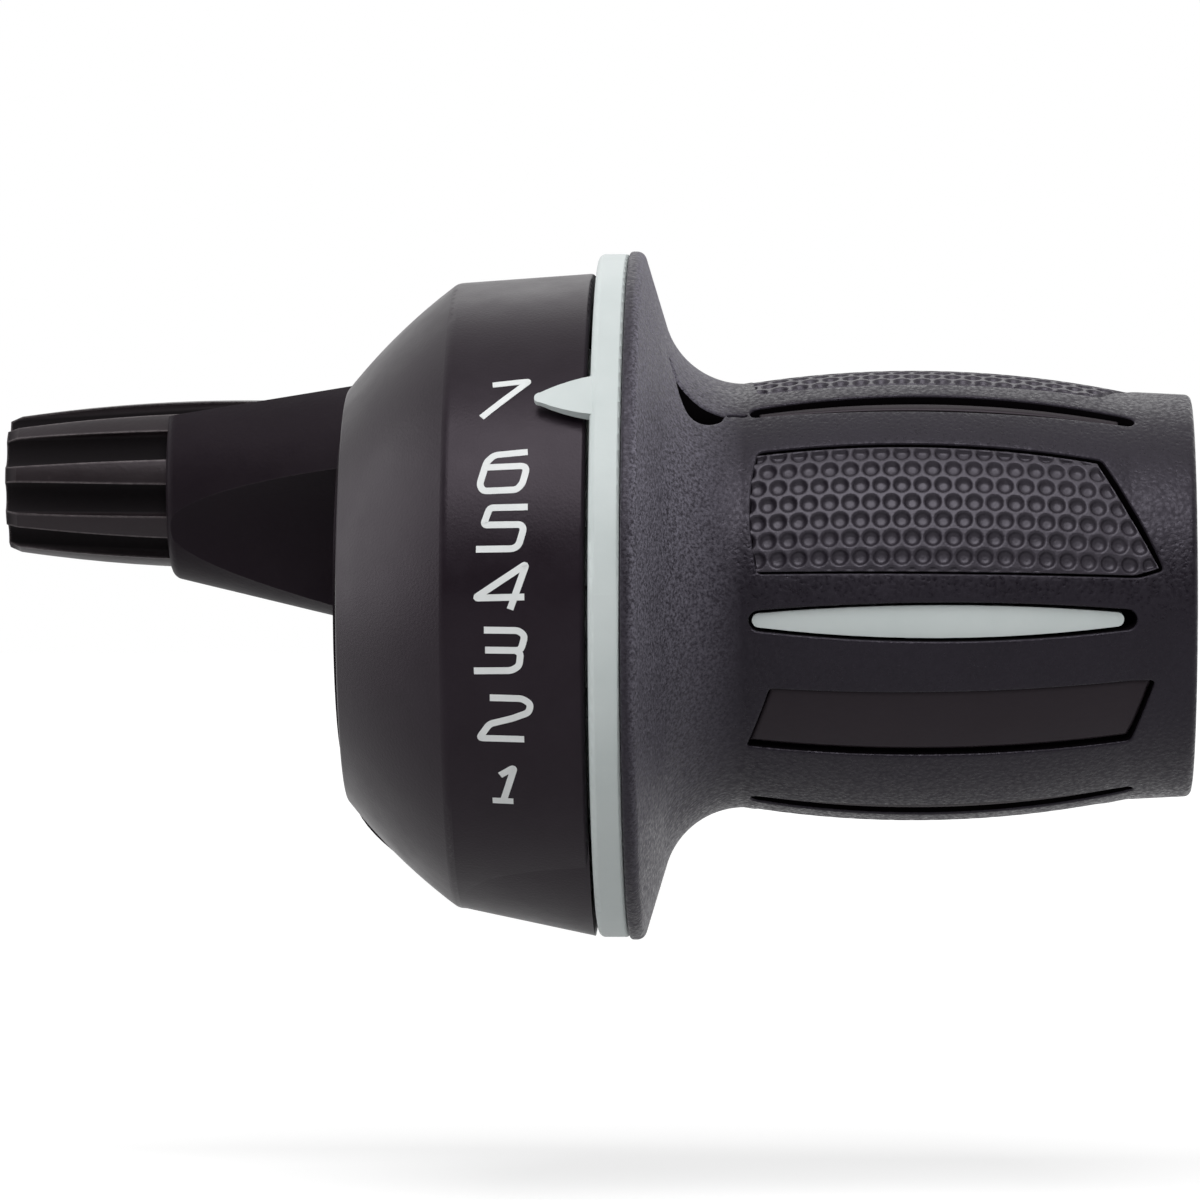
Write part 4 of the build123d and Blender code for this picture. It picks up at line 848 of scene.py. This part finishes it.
def drawn_lines():
    """Fine lines left by drawing or turning metal."""
    group, start, end = shader_group("drawn_lines", {"Scale": 4000.0}, ("Line",))
    lines = noise(group, object_place(group, (0.06, 1.0, 1.0)), start.outputs["Scale"], 3.0, 0.6)
    joined(group, ranged(group, lines, 0.35, 0.65, 0.0, 1.0), end.inputs["Line"])
    return group


def new_surface(name, **constants):
    """A material and its Principled shader, with plain numbers set on its own sockets."""
    material = bpy.data.materials.new(name)
    material.use_nodes = True
    shader = material.node_tree.nodes["Principled BSDF"]
    for label, value in constants.items():
        shader.inputs[label.replace("_", " ")].default_value = value
    return material, material.node_tree, shader


def placed(tree, group, **values):
    """A shared effect placed in a material with its own values."""
    node = tree.nodes.new("ShaderNodeGroup")
    node.node_tree = group
    for label, value in values.items():
        node.inputs[label].default_value = value
    return node.outputs


def colour_between(tree, share, first, second):
    node = tree.nodes.new("ShaderNodeMix")
    node.data_type = "RGBA"
    joined(tree, share, node.inputs[0])
    fed(tree, first, node.inputs[6])
    fed(tree, second, node.inputs[7])
    return node.outputs[2]


def bumped(tree, shader, height, distance, strength=1.0):
    node = tree.nodes.new("ShaderNodeBump")
    node.inputs["Distance"].default_value = distance
    node.inputs["Strength"].default_value = strength
    joined(tree, height, node.inputs["Height"])
    joined(tree, node.outputs["Normal"], shader.inputs["Normal"])


def place_parts(tree):
    """Places along the bar, across it and up, in metres."""
    parts = tree.nodes.new("ShaderNodeSeparateXYZ")
    joined(tree, object_place(tree), parts.inputs["Vector"])
    return parts.outputs


def flute_shade(tree):
    """Share of painted shade low in the knob's flutes, by the distance from its tapered lands."""
    spoke = tree.nodes.new("ShaderNodeMapping")
    spoke.inputs["Scale"].default_value = (0.0, 1.0, 1.0)
    centre = -0.5 * (knob_low + knob_high)
    spoke.inputs["Location"].default_value = (0.0, centre.y, centre.z)
    joined(tree, object_place(tree), spoke.inputs["Vector"])
    radius = tree.nodes.new("ShaderNodeVectorMath")
    radius.operation = "LENGTH"
    joined(tree, spoke.outputs["Vector"], radius.inputs[0])
    tip, root = KNOB_TAPER_X
    lengthwise = place_parts(tree)["X"]
    land = ranged(tree, lengthwise, tip * MM, root * MM, KNOB_LAND_R[0] * MM, KNOB_LAND_R[1] * MM)
    below = number_math(tree, "SUBTRACT", land, radius.outputs["Value"])
    return ranged(tree, below, FLUTE_SHADE[0] * MM, FLUTE_SHADE[1] * MM, 0.0, 1.0)


def settled_dust(tree):
    """Share of the pale dust that stays on the flange and in the funnel, in fine specks, thinning
    towards the bottom; at its start on the flange's rounded rim it is a painted highlight.
    """
    place = object_place(tree)
    parts = place_parts(tree)
    # Where it starts, on the flange's rounded rim, it is a painted highlight.
    off_rim = ranged(tree, parts["X"], DUST_AND_HIGHLIGHT_START_X[0] * MM, DUST_AND_HIGHLIGHT_START_X[1] * MM, 0.15, 1.0)
    by_flange = ranged(tree, parts["X"], DUST_X[0] * MM, DUST_X[1] * MM, 1.0, 0.0)
    by_flange = number_math(tree, "MULTIPLY", off_rim, by_flange)
    towards_top = ranged(tree, parts["Z"], -FLANGE_R * MM, 0.3 * FLANGE_R * MM, 0.15, 1.0)
    specks = ranged(tree, noise(tree, place, DUST_SCALE, 3.0, 0.7), 0.38, 0.64, 0.12, 1.15)
    return number_math(tree, "MULTIPLY", number_math(tree, "MULTIPLY", by_flange, towards_top), specks)


def moulded_finish(name, dark, light, rough, grain, marks=(900.0, 0.3), mark_colour=None, overlay=None,
                   sparkle=0.0, rubbed_and_highlit_edges=None, **constants):
    """A moulded surface: drifting tone, fine grain of a scale and depth, and handling marks.

    What lies on it in places, dust with a painted highlight on the rubber and painted shade in the
    knob's flutes, is given by a mask's maker, a colour and a roughness.
    Sparkle is how much the gloss changes with the grain.
    Pale edges, rubbed wear and partly painted highlight, are given by a radius and a colour.
    """
    material, tree, shader = new_surface(name, **constants)
    grained = placed(tree, grain_group, Scale=grain[0])
    marked = placed(tree, marks_group, Scale=marks[0], Coverage=marks[1])
    base = colour_between(tree, grained["Mottle"], dark, light)
    rubbed = mark_colour or tuple(min(1.0, MARK_PALER * part) for part in light)
    share = number_math(tree, "MULTIPLY", marked["Mark"], MARK_SHARE)
    base = colour_between(tree, share, base, rubbed)
    plain = ranged(tree, grained["Mottle"], 0.0, 1.0, rough - ROUGH_DRIFT, rough + ROUGH_DRIFT)
    duller = number_math(tree, "MULTIPLY", marked["Mark"], MARK_DULL)
    dulled = number_math(tree, "ADD", plain, duller)
    if sparkle:
        glint = ranged(tree, grained["Height"], 0.5, 1.0, -sparkle, sparkle)
        dulled = number_math(tree, "ADD", dulled, glint)
    if overlay:
        mask_maker, dust_and_painted_light_colour, dust_and_painted_light_rough = overlay
        mask = mask_maker(tree)
        base = colour_between(tree, mask, base, dust_and_painted_light_colour)
        dulled = ranged(tree, mask, 0.0, 1.0, dulled, dust_and_painted_light_rough)
    if rubbed_and_highlit_edges:
        rub_and_highlight = placed(tree, edge_rub_and_highlight_group, Radius=rubbed_and_highlit_edges[0])["Rub"]
        base = colour_between(tree, rub_and_highlight, base, rubbed_and_highlit_edges[1])
    joined(tree, base, shader.inputs["Base Color"])
    joined(tree, dulled, shader.inputs["Roughness"])
    bumped(tree, shader, grained["Height"], grain[1])
    return material


def metal_finish(name, dark, light, rough):
    """Bare metal with drawn lines and a little staining."""
    material, tree, shader = new_surface(name, Metallic=1.0)
    line = placed(tree, lines_group, Scale=DRAWN_SCALE)["Line"]
    stain = placed(tree, grain_group, Scale=STAIN_SCALE)["Mottle"]
    joined(tree, colour_between(tree, stain, dark, light), shader.inputs["Base Color"])
    joined(tree, ranged(tree, line, 0.0, 1.0, rough - 0.06, rough + 0.08), shader.inputs["Roughness"])
    bumped(tree, shader, line, DRAWN_DEPTH)
    return material


grain_group = moulded_grain()
marks_group = handling_marks()
edge_rub_and_highlight_group = edge_rub()
lines_group = drawn_lines()


DUST_AND_HIGHLIGHT_START_X = (22.5, 23.2)
DUST_X = (23.5, 31.0)
DUST_SCALE = 4200.0
KNOB_TAPER_X = (-28.3, -10.0)
KNOB_LAND_R = (5.7, 6.8)
FLUTE_SHADE = (0.25, 0.6)
MARK_PALER = 2.2
MARK_SHARE = 0.6
MARK_DULL = 0.1
ROUGH_DRIFT = 0.04
DRAWN_SCALE = 5000.0
DRAWN_DEPTH = 0.000004
STAIN_SCALE = 1500.0


def grip_rubber():
    """Charcoal rubber, dull, with a soft pale bloom and specks of dust, which also paint a highlight on
    the flange's rounded rim.
    """
    return moulded_finish("grip_rubber", (0.006, 0.0045, 0.007), (0.0095, 0.0074, 0.0112), 0.38,
                          (3400.0, 0.000042), (4800.0, 0.6), (0.03, 0.028, 0.035), sparkle=0.16,
                          # Pale dust in specks, also a painted highlight on the flange's rounded rim.
                          overlay=(settled_dust, (0.215, 0.204, 0.248), 0.85), Specular_IOR_Level=0.3,
                          Specular_Tint=(0.9, 0.84, 1.0, 1.0), Sheen_Weight=0.02, Sheen_Roughness=0.4,
                          Sheen_Tint=(0.9, 0.86, 1.0, 1.0))


def recess_rubber():
    """The same rubber, darkened and dulled as painted shade far down in the grooves, gaps and the port.
    """
    return moulded_finish("recess_rubber", (0.0022, 0.0016, 0.0022), (0.0034, 0.0026, 0.0034), 0.85,
                          (5200.0, 0.00001), (900.0, 0.0), Specular_IOR_Level=0.02)


def pad_rubber():
    """The dimpled pads, polished on their ridges."""
    return moulded_finish("pad_rubber", (0.016, 0.0132, 0.0182), (0.0235, 0.0197, 0.0262), 0.42,
                          (5200.0, 0.000012), (4800.0, 0.6), (0.06, 0.056, 0.07),
                          Specular_IOR_Level=0.5, Specular_Tint=(0.92, 0.87, 1.0, 1.0))


def plate_rubber():
    return moulded_finish("plate_rubber", (0.010, 0.007, 0.009), (0.014, 0.0105, 0.013), 0.42,
                          (2600.0, 0.00001), Specular_IOR_Level=0.25,
                          Specular_Tint=(1.0, 0.88, 1.0, 1.0))


def cover_plastic():
    """Dark textured nylon of the cone and numbered band."""
    return moulded_finish("cover_plastic", (0.0085, 0.0052, 0.0082), (0.0115, 0.0078, 0.0115), 0.35,
                          (5200.0, 0.000008), (1100.0, 0.3),
                          # Pale edges: rubbed wear, partly painted highlight.
                          rubbed_and_highlit_edges=(0.0002, (0.03, 0.026, 0.029)), Specular_IOR_Level=0.215,
                          Specular_Tint=(1.0, 0.88, 1.0, 1.0))


def base_nylon():
    return moulded_finish("base_nylon", (0.0078, 0.005, 0.0074), (0.011, 0.0078, 0.0105), 0.5,
                          # Pale edges: rubbed wear, partly painted highlight.
                          (3400.0, 0.000012), rubbed_and_highlit_edges=(0.0002, (0.024, 0.02, 0.023)),
                          Specular_IOR_Level=0.1,
                          Specular_Tint=(1.0, 0.88, 1.0, 1.0))


def knob_plastic():
    return moulded_finish("knob_plastic", (0.0095, 0.0066, 0.0076), (0.0145, 0.0108, 0.0122), 0.37,
                          # Near black low in the flutes is painted shade.
                          (3200.0, 0.00001), overlay=(flute_shade, (0.0012, 0.0008, 0.001), 0.95),
                          # The pale lines along the knob's lands are painted highlights.
                          rubbed_and_highlit_edges=(0.0003, (0.15, 0.132, 0.137)),
                          Specular_IOR_Level=0.3, Specular_Tint=(1.0, 0.9, 0.97, 1.0))


def ring_plastic():
    """Pale grey of the ring with its pointer, and of the lens in the grip."""
    return moulded_finish("ring_plastic", (0.52, 0.57, 0.565), (0.575, 0.62, 0.615), 0.46,
                          (2400.0, 0.000006), (900.0, 0.1), (0.68, 0.7, 0.69),
                          Specular_IOR_Level=0.35)


def acetal():
    return moulded_finish("acetal", (0.66, 0.65, 0.6), (0.74, 0.73, 0.68), 0.38, (2600.0, 0.000006),
                          (900.0, 0.15), (0.8, 0.79, 0.76), Specular_IOR_Level=0.4)


def numeral_paint():
    """Off-white print, slightly worn."""
    return moulded_finish("numeral_paint", (0.66, 0.68, 0.68), (0.76, 0.78, 0.78), 0.5,
                          (3200.0, 0.000006), (1200.0, 0.3), (0.5, 0.51, 0.51),
                          Specular_IOR_Level=0.35)


def steel():
    return metal_finish("steel", (0.40, 0.40, 0.41), (0.52, 0.52, 0.53), 0.32)


def brass():
    return metal_finish("brass", (0.56, 0.40, 0.16), (0.66, 0.48, 0.22), 0.3)


def dress_solids():
    """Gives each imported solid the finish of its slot."""
    makers = (cover_plastic, base_nylon, knob_plastic, ring_plastic, acetal, steel, brass)
    finishes = {make.__name__: make() for make in makers}
    for node in frame["nodes"].values():
        for place in node.material_slots:
            slot_name = place.material.name.split(".")[0]
            if slot_name in finishes:
                place.material = finishes[slot_name]


# Studio: pale floor, white surroundings, softboxes above in front, above behind and to both sides.
FLOOR_BELOW = 0.02
PHOTO_CENTRE = Vector((19.58, 0.0, -0.35)) * MM
CAMERA_DISTANCE = 0.6
CAMERA_TURN = math.radians(2.1)
CAMERA_LENS = 230.8
SENSOR = 36.0


def make_camera():
    data = bpy.data.cameras.new("photo_camera")
    data.lens = CAMERA_LENS
    data.sensor_width = SENSOR
    data.clip_start = 0.05
    data.clip_end = 20.0
    camera = bpy.data.objects.new("photo_camera", data)
    back = Vector((math.sin(CAMERA_TURN), -math.cos(CAMERA_TURN), 0.0))
    camera.location = PHOTO_CENTRE + back * CAMERA_DISTANCE
    camera.rotation_euler = (-back).to_track_quat("-Z", "Y").to_euler()
    bpy.context.scene.collection.objects.link(camera)
    bpy.context.scene.camera = camera


def make_softbox(name, place, size, power):
    data = bpy.data.lights.new(name, "AREA")
    data.shape = "RECTANGLE"
    data.size, data.size_y = size
    data.energy = power
    lamp = bpy.data.objects.new(name, data)
    lamp.location = PHOTO_CENTRE + Vector(place)
    lamp.rotation_euler = (-Vector(place)).to_track_quat("-Z", "Y").to_euler()
    bpy.context.scene.collection.objects.link(lamp)


def seen_rays(tree):
    """A mask of the rays from the camera, and one of the reflected and refracted ones."""
    path = tree.nodes.new("ShaderNodeLightPath")
    glossy = path.outputs["Is Glossy Ray"]
    through = path.outputs["Is Transmission Ray"]
    return path.outputs["Is Camera Ray"], number_math(tree, "MAXIMUM", glossy, through)


WORLD_DIFFUSE = 0.5
DARK_SIDE = 0.06
DARK_REACH = (-0.8, -0.2)


def make_world():
    """White surroundings with a dark opening in front, behind the photographer."""
    world = bpy.data.worlds.new("studio")
    world.use_nodes = True
    tree = world.node_tree
    background = tree.nodes["Background"]
    background.inputs["Color"].default_value = (1.0, 1.0, 1.0, 1.0)
    direction = tree.nodes.new("ShaderNodeSeparateXYZ")
    joined(tree, tree.nodes.new("ShaderNodeTexCoord").outputs["Generated"], direction.inputs["Vector"])
    lit = ranged(tree, direction.outputs["Y"], *DARK_REACH, DARK_SIDE, 1.0)
    direct, carried = seen_rays(tree)
    level = ranged(tree, number_math(tree, "MAXIMUM", direct, carried), 0.0, 1.0, WORLD_DIFFUSE, 1.0)
    lit = number_math(tree, "MAXIMUM", lit, direct)
    joined(tree, number_math(tree, "MULTIPLY", level, lit), background.inputs["Strength"])
    bpy.context.scene.world = world


# The floor's glow by distance from the part, and its share in reflections under and in front of it,
# which is cut there as painted shade.
GLOW_REACH = (0.25, 1.2)
GLOW = (0.55, 0.9)
UNDER_REACH = (0.03, 0.2)
UNDER_SHARE = 0.42
FRONT_REACH = (-0.12, 0.0)
FRONT_SHARE = 0.15
PAPER_SCALE = 40.0
FLOOR_HALF = 6.0


def floor_material():
    """Matt paper that the camera sees as white, darker in the part's shadow, with painted shade in its
    reflections under and in front of the part.
    """
    material, tree, shader = new_surface("studio_floor", Roughness=0.9, Specular_IOR_Level=0.0)
    place = object_place(tree)
    tone = noise(tree, place, PAPER_SCALE)
    paper = colour_between(tree, tone, (0.52, 0.52, 0.52), (0.54, 0.54, 0.54))
    joined(tree, paper, shader.inputs["Base Color"])
    shader.inputs["Emission Color"].default_value = (1.0, 1.0, 1.0, 1.0)
    distance = tree.nodes.new("ShaderNodeVectorMath")
    distance.operation = "LENGTH"
    joined(tree, place, distance.inputs[0])
    glow = ranged(tree, distance.outputs["Value"], *GLOW_REACH, *GLOW)
    direct, carried = seen_rays(tree)
    # Painted shade: the floor's glow is dimmed in reflections close under the part and in front of it.
    under = ranged(tree, distance.outputs["Value"], *UNDER_REACH, UNDER_SHARE, 1.0)
    behind = ranged(tree, place_parts(tree)["Y"], *FRONT_REACH, FRONT_SHARE, 1.0)
    painted_shade_factor = number_math(tree, "MULTIPLY", under, behind)
    mirrored = number_math(tree, "MULTIPLY", carried, painted_shade_factor)
    seen = number_math(tree, "MAXIMUM", direct, mirrored)
    joined(tree, number_math(tree, "MULTIPLY", seen, glow), shader.inputs["Emission Strength"])
    return material


def make_floor():
    low = cad_box[0].z - FLOOR_BELOW
    mesh = bpy.data.meshes.new("studio_floor")
    sides = ((-1, -1), (1, -1), (1, 1), (-1, 1))
    corners = [(FLOOR_HALF * x, FLOOR_HALF * y, low) for x, y in sides]
    mesh.from_pydata(corners, [], [(0, 1, 2, 3)])
    mesh.materials.append(floor_material())
    floor = bpy.data.objects.new("studio_floor", mesh)
    bpy.context.scene.collection.objects.link(floor)


# Each softbox: its place from the photo's centre and its size, in metres, and its power.
SOFTBOXES = {
    "key_softbox": ((0.0, -0.43, 0.48), (0.5, 0.45), 3.65),
    "rear_softbox": ((0.02, 0.42, 0.43), (0.5, 0.3), 0.4),
    "left_softbox": ((-0.58, 0.06, 0.14), (0.4, 0.4), 1.0),
    "right_softbox": ((0.36, 0.5, 0.1), (0.35, 0.4), 0.2),
}

make_camera()
make_world()
for box_name, (box_place, box_size, box_power) in SOFTBOXES.items():
    make_softbox(box_name, box_place, box_size, box_power)
make_floor()
dress_solids()
make_grip_rubber(grip_rubber(), recess_rubber())
make_panel_pads(pad_rubber())
plate_finish = plate_rubber()
make_groove_ribs(plate_finish)
make_plate(plate_finish)
make_numerals(numeral_paint())
bpy.context.scene.view_settings.view_transform = "Standard"
